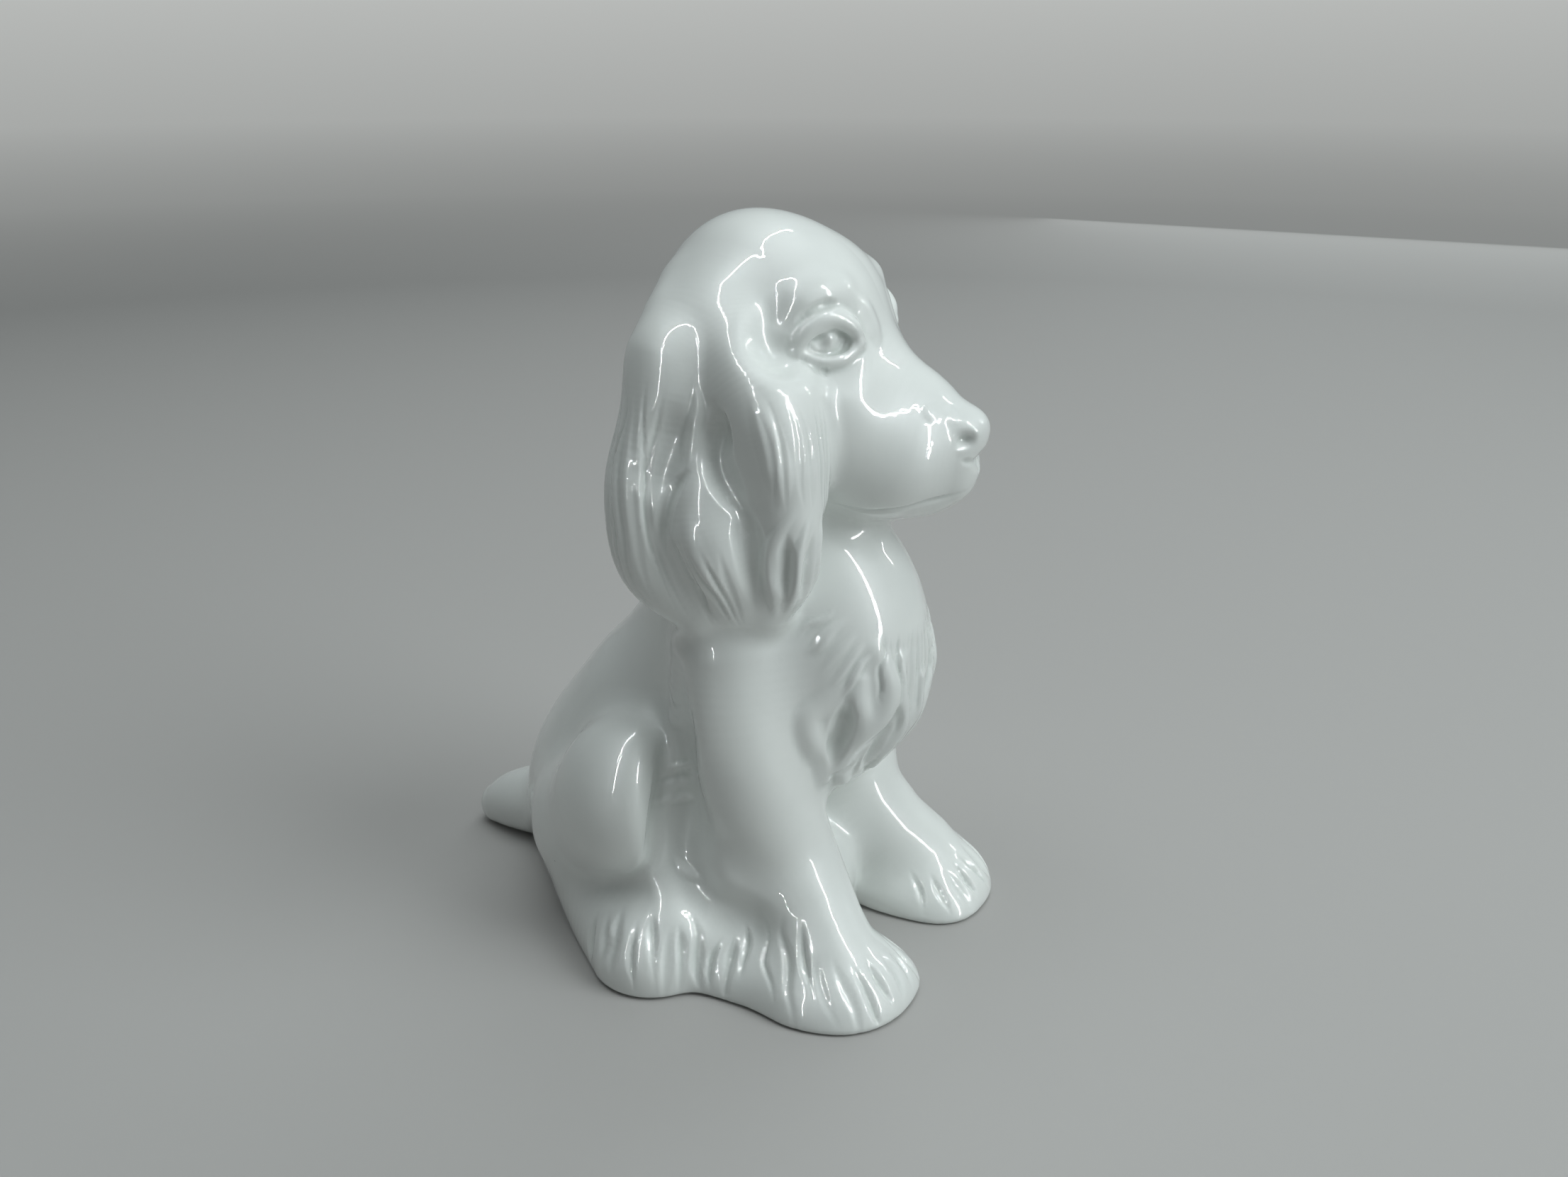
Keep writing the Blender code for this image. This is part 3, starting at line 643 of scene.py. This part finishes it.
def ear_strokes(strokes):
    """Hollows, locks and strands of the ears."""
    hollows = (
        (
            [(32, -18.4, 121.6), (33, -20, 117), (33.4, -20.4, 111), (33, -22.6, 105), (32, -25, 99)],
            3.3,
            -2.2,
        ),
        ([(31, -12.5, 121.5), (33, -11, 114.5), (34.6, -10, 107), (35.6, -9.5, 100)], 5.2, -1.7),
        ([(33, -17, 109), (34.6, -13, 105), (36, -10.6, 98), (36, -11, 90)], 2.0, -1.0),
        ([(32, -24, 104), (34, -26.4, 98), (34.4, -27.6, 91), (31, -27, 82)], 3.2, -1.1),
        ([(33.4, -33.4, 99), (34, -33.4, 92), (33, -32.8, 84)], 1.9, -1.2),
        ([(30, -38, 99), (31, -37.6, 91), (29, -35, 83)], 1.7, -1.0),
    )
    for line, width, height in hollows:
        strokes.add(line, width, height, head=True, fade=0.38)
    ridges = (
        (
            [(33, -35.5, 104), (34, -31.6, 97.5), (34.4, -30, 92), (33.6, -30.8, 86), (31, -30.6, 80)],
            2.0,
            0.9,
        ),
        ([(30, -37, 103), (32.4, -35.6, 95), (32.4, -35, 87), (30, -32.4, 79)], 1.7, 0.8),
        ([(27, -40, 102), (28, -39.4, 94), (27, -37, 84)], 1.4, 0.6),
        ([(33, -26.6, 125), (34.6, -30, 117), (34.6, -32.4, 109), (33.8, -33, 103)], 3.0, 0.7),
        ([(31, -15.8, 124), (33, -16.6, 118.5), (33.6, -15.2, 113), (34, -14.6, 108)], 1.8, 0.7),
        ([(35, -16, 104), (37.4, -16, 97), (37.4, -19, 90), (34, -22.6, 82)], 3.4, 0.6),
    )
    for line, width, height in ridges:
        strokes.add(line, width, height, head=True, fade=0.4)
    back_first = [(22, -2.4, 126), (28, -0.6, 117), (31, 1, 107), (32, 2.4, 97), (31, 0.8, 87), (30, -5, 79)]
    back_last = [(27, -9.5, 124), (31.6, -8.6, 117), (34, -7.4, 108), (36, -8.6, 98)]
    back_last += [(35, -11, 89), (33, -16, 78)]
    strokes.comb(back_first, back_last, 8, 1.0, -0.4, head=True, vary=0.45, fade=0.45)
    low_first = [(36, -11, 99), (37, -14, 93), (36, -17, 85), (33, -20, 78)]
    low_last = [(37, -21, 96), (37, -23, 90), (35.6, -24.4, 84), (33, -26, 77)]
    strokes.comb(low_first, low_last, 5, 1.2, -0.5, head=True, vary=0.45, fade=0.45)
    lock_first = [(33, -27, 123), (34.8, -30, 116), (35, -31.4, 109), (34, -31.6, 102)]
    lock_last = [(28, -35, 121), (29, -37.6, 115), (29, -38.6, 108), (28, -38.4, 100)]
    strokes.comb(lock_first, lock_last, 5, 0.9, -0.22, head=True, vary=0.45, fade=0.5)
    edge_first = [(26.6, -35.8, 122), (27.6, -38, 115), (27.6, -38.8, 107), (26.6, -38.4, 100)]
    edge_last = [(24, -35.6, 120), (24.6, -37.6, 113), (24.6, -38.4, 106), (24, -37.8, 99)]
    strokes.comb(edge_first, edge_last, 3, 0.8, -0.32, head=True, fade=0.4)


def bib_strokes(strokes):
    """Strands of the bib."""
    strands = (
        [(14, -41, 80), (16, -39, 78), (18, -37, 76), (20, -35, 74)],
        [(13, -43, 77), (16, -41, 75), (17.6, -39, 73), (19.6, -37, 70.6)],
        [(13, -45, 75), (15, -43, 73), (17, -41, 70), (18.6, -38.6, 67)],
        [(12.4, -46, 73.4), (14.4, -44.4, 70.6), (16.4, -42.4, 67), (17.6, -40, 64)],
        [(11.8, -47, 71.6), (13.8, -45.4, 68.4), (15.6, -43.8, 65), (16.6, -42, 62)],
    )
    for line in strands:
        strokes.add(line, 1.3, 0.5, vary=0.45, fade=0.5)
    side_strand = [(9.5, -49, 74), (10.2, -49, 68), (9.4, -49.4, 60)]
    middle_strand = [(0.4, -53.4, 74), (0.8, -53.6, 63), (0.4, -51.5, 53)]
    strokes.comb(side_strand, middle_strand, 8, 0.9, -0.4, vary=0.4)
    strokes.add([(7, -50.6, 61), (5.6, -50.8, 56), (5.6, -49.8, 51)], 1.3, -0.6, fade=0.45)
    hollow = [(15.2, -45, 63), (15.6, -44, 59), (15.6, -43, 55), (15, -41.6, 50), (14, -40.4, 45)]
    strokes.add(hollow, 2.9, -1.7, fade=0.4)
    hollow = [(7.4, -51, 60), (8, -49.8, 55), (8.4, -47.6, 50), (7.4, -45, 45), (5, -42.6, 41)]
    strokes.add(hollow, 2.0, -1.1, fade=0.4)
    side_tip = [(12.4, -41.4, 49), (11, -39.8, 43), (9.4, -39.4, 40)]
    middle_tip = [(2, -47.2, 49), (1.6, -44.4, 44), (1.2, -42.4, 41)]
    strokes.comb(side_tip, middle_tip, 4, 1.2, -0.45, vary=0.4, fade=0.45)


def paw_strokes(strokes):
    """Grooves between the tufts of the feet."""
    fore = (
        [(27, -29, 14), (30, -29.8, 9.6), (34, -31, 4)],
        [(25, -33, 18), (28, -34.6, 13), (31.4, -36, 9), (34, -39, 5.6), (36, -41, 2)],
        [(24.6, -36.4, 19), (27.4, -38, 14.6), (30.4, -40.4, 10), (34, -43, 6), (36.4, -47, 1)],
        [(25, -39.6, 18.4), (27.4, -41.6, 14.6), (30, -43.4, 11), (32.6, -46, 7), (35, -49, 3.4)],
        [(28.4, -44.6, 11.6), (31, -46.4, 9), (33.4, -49.4, 6), (34.6, -53.6, 1)],
        [(27.4, -47, 11.6), (30, -50.6, 7.4), (31.4, -54.4, 3.6), (32.6, -56.4, 0.8)],
        [(26.4, -50, 10.6), (27.8, -54.4, 6.6), (28.6, -57.4, 3), (29.4, -59, 0.8)],
        [(24, -52, 10.4), (25, -56.4, 6.2), (26, -59.2, 2)],
        [(21, -53.6, 10), (22, -57.6, 6), (23.6, -60.6, 2)],
        [(18, -53.4, 10), (17.6, -57.8, 6), (18.4, -60.6, 2)],
        [(15.4, -52.4, 9.4), (14.4, -56.8, 5), (14.6, -59.6, 1.4)],
        [(13, -50.6, 9), (11.6, -54.2, 5), (11.2, -57.2, 1.4)],
        [(12.2, -46.6, 10), (10.2, -49.4, 5.4), (8.8, -52.4, 1.4)],
    )
    hind = (
        [(37, 1, 11.5), (40, 1, 7), (41.4, 0, 2.6)],
        [(37, -2, 13), (41.6, -4, 9), (43, -4, 3)],
        [(37, -6, 14), (41.8, -6.4, 10), (43.8, -6.6, 3)],
        [(38, -10, 14), (42, -11, 9), (43.4, -12, 2)],
        [(36, -12, 15), (39, -14, 11), (42, -15, 2)],
        [(36, -15, 13.6), (40, -16.6, 8), (42, -17.6, 1)],
        [(35, -17, 14), (37.4, -18.6, 10), (40, -19.4, 1)],
        [(33, -18.6, 16), (35, -20.4, 10), (36.6, -22, 5), (37.4, -23.4, 0.6)],
        [(31, -24.6, 11), (34, -24.4, 7), (37, -25.4, 1)],
        [(29, -27.4, 11), (32, -27.6, 7), (36, -28.4, 1)],
    )
    for line in fore + hind:
        strokes.add(line, 1.6, -0.7, vary=0.45, fade=0.5)


def flank_strokes(strokes):
    """The crease round the haunch, and tufts on the flank before it."""
    crease = [(24, -8, 54), (29, -10.6, 47), (31.6, -12.4, 38), (33, -11.4, 30), (33.6, -8, 24), (34, -3, 20)]
    strokes.add(crease, 3.4, -1.4, fade=0.4)
    tufts = (
        ([(30.6, -11.4, 44.6), (28.6, -14, 45), (28, -18, 47)], 1.5, 0.5),
        ([(31.4, -11.8, 41), (29, -13.8, 41.6), (28, -16.4, 42.8)], 1.4, -0.5),
        ([(32, -12, 36.6), (29.6, -14, 37.4), (28.4, -16, 38)], 1.3, 0.4),
        ([(26, -8, 56), (27.6, -11, 54), (28.6, -15, 54.6)], 1.6, 0.45),
        ([(25, -8, 60), (27, -11.6, 58), (29, -16, 59)], 1.6, -0.45),
        ([(30.6, -13, 26), (30.4, -16.6, 23), (30, -20, 21.6)], 1.4, 0.4),
    )
    for line, width, height in tufts:
        strokes.add(line, width, height, vary=0.4, fade=0.5)


def all_strokes():
    """Every stroke, snapped onto the skin."""
    strokes = Strokes(CHANCE_SEED)
    face_strokes(strokes)
    ear_strokes(strokes)
    bib_strokes(strokes)
    paw_strokes(strokes)
    flank_strokes(strokes)
    return strokes.runs()


def grid_mesh(field, low, high, step):
    """Points and four-sided faces of a field's zero surface, from a grid that is filled near it."""
    low = np.array(low, float)
    count = np.ceil((np.array(high, float) - low) / step).astype(int) + 1
    lines = [low[i] + step * np.arange(count[i]) for i in range(3)]
    rough_step = step * ROUGH_STEPS
    rough_count = (count + ROUGH_STEPS - 1) // ROUGH_STEPS + 1
    rough_lines = [low[i] + rough_step * np.arange(rough_count[i]) for i in range(3)]
    corners = np.stack(np.meshgrid(*rough_lines, indexing="ij"), -1).reshape(-1, 3)
    rough = field(corners).reshape(rough_count)
    nearest = []
    for size, rough_size in zip(count, rough_count):
        index = (np.arange(size) + ROUGH_STEPS // 2) // ROUGH_STEPS
        nearest.append(np.minimum(index, rough_size - 1))
    base = rough[np.ix_(*nearest)]
    band = np.nonzero(np.abs(base) < rough_step * BAND_SHARE + BAND_MARGIN)
    values = np.sign(base) * np.maximum(np.abs(base), step)
    places = np.stack([lines[axis][band[axis]] for axis in range(3)], 1)
    values[band] = in_blocks(field, places)
    grid = openvdb.FloatGrid(FAR)
    grid.copyFromArray(values.astype(np.float32))
    points, _, quads = grid.convertToPolygons(isovalue=0.0, adaptivity=0.0)
    return np.array(points, float) * step + low, np.array(quads, int)


def in_blocks(field, places):
    """A field's values at many places, worked out a block at a time."""
    starts = range(0, len(places), BLOCK_SIZE)
    return np.concatenate([field(places[start : start + BLOCK_SIZE]) for start in starts])


def refine(points, quads):
    """Each quad becomes four."""
    edges = np.stack([quads, np.roll(quads, -1, axis=1)], -1).reshape(-1, 2)
    edges.sort(axis=1)
    keys, which = np.unique(edges[:, 0] * len(points) + edges[:, 1], return_inverse=True)
    middles = (points[keys // len(points)] + points[keys % len(points)]) / 2
    centres = points[quads].mean(1)
    edge_at = len(points) + which.reshape(-1, 4)
    centre_at = len(points) + len(middles) + np.arange(len(quads))
    parts = []
    for corner in range(4):
        after, before = edge_at[:, corner], edge_at[:, corner - 1]
        parts.append(np.stack([quads[:, corner], after, centre_at, before], 1))
    return np.concatenate([points, middles, centres]), np.concatenate(parts)


def normals_of(points, quads):
    """Each point's normal, from the faces around it."""
    corner = points[quads]
    faces = np.cross(corner[:, 2] - corner[:, 0], corner[:, 3] - corner[:, 1])
    out = np.zeros_like(points)
    for axis in range(3):
        share = np.repeat(faces[:, axis], 4)
        out[:, axis] = np.bincount(quads.ravel(), share, len(points))
    return out / np.maximum(np.linalg.norm(out, axis=1), TINY)[:, None]


def skin(field, low, high, step, runs):
    """A closed mesh of the field at half the step, drawn onto its true surface, with the strokes."""
    points, quads = grid_mesh(field, low, high, step)
    normals = normals_of(points, quads)
    faces_outward = (normals * (points - points.mean(0))).sum() > 0
    if not faces_outward:
        quads = quads[:, ::-1]
    points, quads = refine(points, quads)
    for _ in range(PROJECTIONS):
        normals = normals_of(points, quads)
        off = in_blocks(field, points)
        off = np.clip(off, -PROJECTION_LIMIT, PROJECTION_LIMIT)
        points = points - normals * off[:, None]
    points = points + normals_of(points, quads) * relief(points, runs)[:, None]
    points[:, 2] = np.maximum(points[:, 2], 0)
    return points, quads


def linked(name, data):
    """A new object of the scene, made of the given data."""
    made = bpy.data.objects.new(name, data)
    bpy.context.scene.collection.objects.link(made)
    return made


def form_object(name, form):
    """A new object from an edited form, which is freed."""
    mesh = bpy.data.meshes.new(name)
    form.to_mesh(mesh)
    form.free()
    return linked(name, mesh)


def mesh_object(name, points, quads):
    """A new object, in metres, of points in millimetres and four-sided faces."""
    mesh = bpy.data.meshes.new(name)
    mesh.vertices.add(len(points))
    mesh.vertices.foreach_set("co", (points * MM).astype(np.float32).ravel())
    mesh.loops.add(quads.size)
    mesh.loops.foreach_set("vertex_index", quads.astype(np.int32).ravel())
    mesh.polygons.add(len(quads))
    mesh.polygons.foreach_set("loop_start", np.arange(0, quads.size, 4, dtype=np.int32))
    mesh.polygons.foreach_set("loop_total", np.full(len(quads), 4, np.int32))
    mesh.update(calc_edges=True)
    return linked(name, mesh)


def share_box(name, share, matrix, side=1):
    """A box round one casting's share, in the frame of the matrix. Side -1 puts it on the dog's right."""
    low, high = share
    least, most = sorted((side * low[0], side * high[0]))
    low = Vector((least, *low[1:]))
    high = Vector((most, *high[1:]))
    form = bmesh.new()
    bmesh.ops.create_cube(form, size=1)
    for vertex in form.verts:
        place = Vector(low[i] + (vertex.co[i] + 0.5) * (high[i] - low[i]) for i in range(3))
        vertex.co = (matrix @ place) * MM
    return form_object(name, form)


def cut(source, cutter, operation, name):
    """A new object: source with one Boolean by the cutter applied."""
    modifier = source.modifiers.new("share", "BOOLEAN")
    modifier.object = cutter
    modifier.operation = operation
    modifier.solver = "MANIFOLD"
    bpy.context.view_layer.update()
    shown = source.evaluated_get(bpy.context.evaluated_depsgraph_get())
    mesh = bpy.data.meshes.new_from_object(shown)
    source.modifiers.remove(modifier)
    made = linked(name, mesh)
    mesh.name = made.name
    return made


def discard(*things):
    """Objects that only helped are removed."""
    for thing in things:
        mesh = thing.data
        bpy.data.objects.remove(thing)
        bpy.data.meshes.remove(mesh)


def without(source, cutter, name):
    """A new object: what a cutter leaves of the source, which is removed."""
    rest = cut(source, cutter, "DIFFERENCE", name)
    discard(source)
    return rest


def read_rows(items, attribute, width):
    """One attribute of all the given mesh items, as rows of numbers."""
    values = np.empty(len(items) * width, np.float32)
    items.foreach_get(attribute, values)
    return values.reshape(-1, width)


def smooth_normals(piece, tree, normals):
    """The skin's own normals on the skin, and flat ones on the seam faces."""
    mesh = piece.data
    corner_points = np.empty(len(mesh.loops), np.int32)
    mesh.loops.foreach_get("vertex_index", corner_points)
    corners_per_face = np.empty(len(mesh.polygons), np.int32)
    mesh.polygons.foreach_get("loop_total", corners_per_face)
    found = np.array([tree.find(place)[1] for place in read_rows(mesh.vertices, "co", 3)])
    corner_normals = normals[found][corner_points]
    flat = read_rows(mesh.polygons, "normal", 3)
    in_seam = (np.abs(flat @ SEAM_AXES.T) > SEAM_COSINE).any(1)
    flat = np.repeat(flat, corners_per_face, axis=0)
    off_skin = (corner_normals * flat).sum(1) < SKIN_COSINE
    flattened = np.repeat(in_seam, corners_per_face) & off_skin
    corner_normals[flattened] = flat[flattened]
    mesh.polygons.foreach_set("use_smooth", np.ones(len(mesh.polygons), bool))
    mesh.normals_split_custom_set(corner_normals.tolist())


def add_node(tree, kind, **settings):
    """A new shader node with the given settings. A name that is one of its inputs sets that input."""
    node = tree.nodes.new(kind)
    for name, value in settings.items():
        label = name.replace("_", " ").title()
        if label in node.inputs:
            node.inputs[label].default_value = value
        else:
            setattr(node, name, value)
    return node


def ramp(tree, source, between, to):
    """Source's values between two numbers, drawn out to run from one other number to another."""
    node = add_node(tree, "ShaderNodeMapRange", clamp=True)
    node.inputs["From Min"].default_value, node.inputs["From Max"].default_value = between
    node.inputs["To Min"].default_value, node.inputs["To Max"].default_value = to
    tree.links.new(source, node.inputs["Value"])
    return node.outputs["Result"]


def blended(tree, share, first, last):
    """A colour between two colours or sockets."""
    node = add_node(tree, "ShaderNodeMix", data_type="RGBA")
    tree.links.new(share, node.inputs["Factor"])
    sockets = [socket for socket in node.inputs if socket.type == "RGBA"]
    for socket, colour in zip(sockets, (first, last)):
        if isinstance(colour, tuple):
            socket.default_value = (*colour, 1)
        else:
            tree.links.new(colour, socket)
    return next(socket for socket in node.outputs if socket.type == "RGBA")


def noise(tree, place, scale, detail):
    """A cloudy pattern from none to full."""
    node = add_node(tree, "ShaderNodeTexNoise", scale=scale, detail=detail, roughness=0.5)
    tree.links.new(place, node.inputs["Vector"])
    return node.outputs["Fac"]


def pinholes(tree, place):
    """The share of a pinhole's colour: a tiny dot in about one cell of ten."""
    cells = add_node(tree, "ShaderNodeTexVoronoi", scale=PINHOLES_PER_METRE)
    tree.links.new(place, cells.inputs["Vector"])
    near = ramp(tree, cells.outputs["Distance"], PINHOLE_EDGE, (1.0, 0.0))
    parts = tree.nodes.new("ShaderNodeSeparateColor")
    tree.links.new(cells.outputs["Color"], parts.inputs["Color"])
    chosen = ramp(tree, parts.outputs["Red"], PINHOLE_CHOICE, (0.0, PINHOLE_STRENGTH))
    dot = add_node(tree, "ShaderNodeMath", operation="MULTIPLY")
    tree.links.new(near, dot.inputs[0])
    tree.links.new(chosen, dot.inputs[1])
    return dot.outputs["Value"]


def glaze():
    """White porcelain under a clear glossy glaze: cooler and darker in a groove, partly where the glaze pools
    and partly as painted shade, faintly clouded, with a few dark pinholes and a soft unevenness that wavers
    the highlights."""
    material = bpy.data.materials.new("white_glaze")
    material.use_nodes = True
    tree = material.node_tree
    shader = tree.nodes["Principled BSDF"]
    place = tree.nodes.new("ShaderNodeTexCoord").outputs["Object"]

    clouds = noise(tree, place, CLOUDS_PER_METRE, 3.0)
    white = blended(tree, ramp(tree, clouds, CLOUD_FADE, (0.0, 1.0)), CLOUDED, CLEAR_WHITE)
    shape = tree.nodes.new("ShaderNodeNewGeometry")
    # Concave places, where pointiness is low, are darkened: partly glaze that pools there, partly painted
    # shade
    pooled_and_shaded = ramp(tree, shape.outputs["Pointiness"], POOL_AND_SHADE_FADE, (POOL_AND_SHADE_STRENGTH, 0.0))
    white = blended(tree, pooled_and_shaded, white, POOLED_AND_SHADED)
    white = blended(tree, pinholes(tree, place), white, PINHOLE)
    tree.links.new(white, shader.inputs["Base Color"])
    tree.links.new(ramp(tree, clouds, CLAY_FADE, CLAY_ROUGHNESS), shader.inputs["Roughness"])

    ripples = noise(tree, place, RIPPLES_PER_METRE, 2.0)
    bump = add_node(tree, "ShaderNodeBump", strength=RIPPLE_STRENGTH, distance=RIPPLE_HEIGHT)
    tree.links.new(ripples, bump.inputs["Height"])
    tree.links.new(bump.outputs["Normal"], shader.inputs["Normal"])
    tree.links.new(bump.outputs["Normal"], shader.inputs["Coat Normal"])

    shader.inputs["IOR"].default_value = CLAY_IOR
    shader.inputs["Coat Weight"].default_value = COAT_WEIGHT
    shader.inputs["Coat Roughness"].default_value = COAT_ROUGHNESS
    shader.inputs["Coat IOR"].default_value = COAT_IOR
    return material


def upper(points):
    """The sculpt from a little below the ears' seam upwards."""
    return np.maximum(sculpt(points), EAR_SEAM_Z - SKIN_OVERLAP - points[:, 2])


def lower(points):
    """The sculpt from the ground to a little above the neck's seam."""
    return np.maximum(sculpt(points), points[:, 2] - (NECK_SEAM_Z + SKIN_OVERLAP))


def make_skin(name, field, grid, step, runs):
    """A skin as an object, and the tree and normals of its points."""
    points, quads = skin(field, *grid, step, runs)
    tree = KDTree(len(points))
    for index, place in enumerate(points * MM):
        tree.insert(place, index)
    tree.balance()
    return mesh_object(name, points, quads), (tree, normals_of(points, quads))


def castings(top, bottom):
    """The nine castings' shares of the upper and the lower skin, which are removed."""
    shares = {}
    head_box = share_box("head_box", HEAD_SHARE, ROW_MATRIX)
    body_box = share_box("body_box", BODY_SHARE, ROW_MATRIX)
    head = cut(top, head_box, "INTERSECT", "head_skin")
    body = cut(bottom, body_box, "INTERSECT", "body_skin")
    discard(head_box, body_box)
    for label, side in (("left", 1), ("right", -1)):
        box = share_box("ear_box", EAR_SHARE, HEAD_MATRIX, side)
        shares[f"{label}_ear"] = cut(top, box, "INTERSECT", f"{label}_ear_skin")
        head = without(head, box, "head_skin")
        body = without(body, box, "body_skin")
        discard(box)
        for part, share in (("foreleg", FORELEG_SHARE), ("hind_leg", HIND_LEG_SHARE)):
            box = share_box(f"{part}_box", share, FLANK_MATRIX, side)
            shares[f"{label}_{part}"] = cut(body, box, "INTERSECT", f"{label}_{part}_skin")
            body = without(body, box, "body_skin")
            discard(box)
    box = share_box("tail_box", TAIL_SHARE, ROW_MATRIX)
    shares["tail"] = cut(body, box, "INTERSECT", "tail_skin")
    shares["body_casting"] = without(body, box, "body_skin")
    shares["head_casting"] = head
    discard(box, top, bottom)
    return shares


def make_dog(material):
    """All nine pieces, each in place of its CAD casting."""
    runs = all_strokes()
    top, top_normals = make_skin("top", upper, UPPER_GRID, FINE_STEP, runs)
    bottom, bottom_normals = make_skin("bottom", lower, LOWER_GRID, COARSE_STEP, runs)
    for node, piece in castings(top, bottom).items():
        smooth_normals(piece, *(top_normals if node in UPPER_NODES else bottom_normals))
        piece.name = node + "_skin"
        piece.data.materials.clear()
        piece.data.materials.append(material)
        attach(piece, "root")
        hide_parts(node)


def ring_mesh(name, profile):
    """A smooth round surface through rings given by radius and height, in metres."""
    form = bmesh.new()
    rings = []
    for radius, height in profile:
        ring = []
        for turn in np.linspace(0, 2 * math.pi, STAGE_SIDES, endpoint=False):
            ring.append(form.verts.new((radius * math.cos(turn), radius * math.sin(turn), height)))
        rings.append(ring)
    for inner, outer in zip(rings, rings[1:]):
        for i in range(STAGE_SIDES):
            form.faces.new((inner[i - 1], outer[i - 1], outer[i], inner[i]))
    made = form_object(name, form)
    made.data.polygons.foreach_set("use_smooth", np.ones(len(made.data.polygons), bool))
    return made


def stage_finish_and_painted_glow():
    """A matt pale finish with a painted glow, though it is no lamp, that grows from none at the table's rim
    to its strongest at the backdrop's top.
    """
    material = bpy.data.materials.new("pale_stage_with_painted_glow")
    material.use_nodes = True
    tree = material.node_tree
    shader = tree.nodes["Principled BSDF"]
    shader.inputs["Base Color"].default_value = (*STAGE_COLOUR, 1)
    shader.inputs["Roughness"].default_value = STAGE_ROUGHNESS
    shader.inputs["Emission Color"].default_value = (*BACKDROP_GLOW_COLOUR, 1)
    place = tree.nodes.new("ShaderNodeTexCoord").outputs["Object"]
    reach = add_node(tree, "ShaderNodeVectorMath", operation="LENGTH")
    tree.links.new(place, reach.inputs[0])
    farthest = BACKDROP_PROFILE[-1][0]
    # Painted glow: the backdrop brightens from the table's rim outwards and upwards
    glow = ramp(tree, reach.outputs["Value"], (TABLE_RADIUS, farthest), (0.0, BACKDROP_GLOW))
    tree.links.new(glow, shader.inputs["Emission Strength"])
    return material


def make_stage():
    """A plain pale table, and round it a backdrop that sweeps up, brightened by a painted glow, that only the
    camera sees.
    """
    finish = stage_finish_and_painted_glow()
    table = ring_mesh("table", TABLE_PROFILE)
    backdrop = ring_mesh("backdrop", BACKDROP_PROFILE)
    backdrop.visible_diffuse = False
    backdrop.visible_glossy = False
    for thing in (table, backdrop):
        thing.data.materials.append(finish)


def make_light(name, at, size, power, along, shines):
    """One rectangular lamp that faces the dog, its first side along a direction. A lamp that shines is
    only mirrored in the glaze, and any other only lights it."""
    lamp = bpy.data.lights.new(name, "AREA")
    lamp.shape = "RECTANGLE"
    lamp.size, lamp.size_y = size
    lamp.energy = power
    lamp.color = LAMP_COLOUR
    made = linked(name, lamp)
    back = (Vector(at) - Vector(DOG_MIDDLE)).normalized()
    side = Vector(along)
    side = (side - back * side.dot(back)).normalized()
    made.matrix_world = Matrix((side, back.cross(side), back)).transposed().to_4x4()
    made.location = at
    made.visible_glossy = shines
    made.visible_diffuse = not shines


def make_lighting():
    """A dim pale room, broad soft lamps, and thin strips that draw the highlights."""
    world = bpy.data.worlds.new("pale_room")
    bpy.context.scene.world = world
    world.use_nodes = True
    tree = world.node_tree
    background = tree.nodes["Background"]
    background.inputs["Color"].default_value = (*ROOM_COLOUR, 1)
    rays = tree.nodes.new("ShaderNodeLightPath")
    glow = (ROOM_GLOW, MIRRORED_ROOM_GLOW)
    strength = ramp(tree, rays.outputs["Is Glossy Ray"], (0.0, 1.0), glow)
    tree.links.new(strength, background.inputs["Strength"])
    for name, at, size, power, along in SOFT_LAMPS:
        make_light(name, at, (size, size), power, along, shines=False)
    for name, at, length, along in STRIPS:
        power = STRIP_WATTS_PER_METRE * length
        make_light(name, at, (length, STRIP_WIDTH), power, along, shines=True)
    bpy.context.scene.view_settings.view_transform = "Standard"


def make_camera():
    """The camera, at the photograph's place and angle."""
    camera = bpy.data.cameras.new("camera")
    camera.sensor_width = SENSOR_WIDTH
    camera.lens = SENSOR_WIDTH * FOCAL_PIXELS / PHOTO_WIDTH
    camera.clip_start = CAMERA_NEAR
    made = linked("camera", camera)
    made.location = Vector(CAMERA_AT) * MM
    level, drop = math.cos(CAMERA_PITCH), math.sin(CAMERA_PITCH)
    forward = Vector((CAMERA_HEADING[0] * level, CAMERA_HEADING[1] * level, -drop))
    made.rotation_euler = forward.to_track_quat("-Z", "Y").to_euler()
    bpy.context.scene.camera = made


make_camera()
make_lighting()
make_stage()
make_dog(glaze())
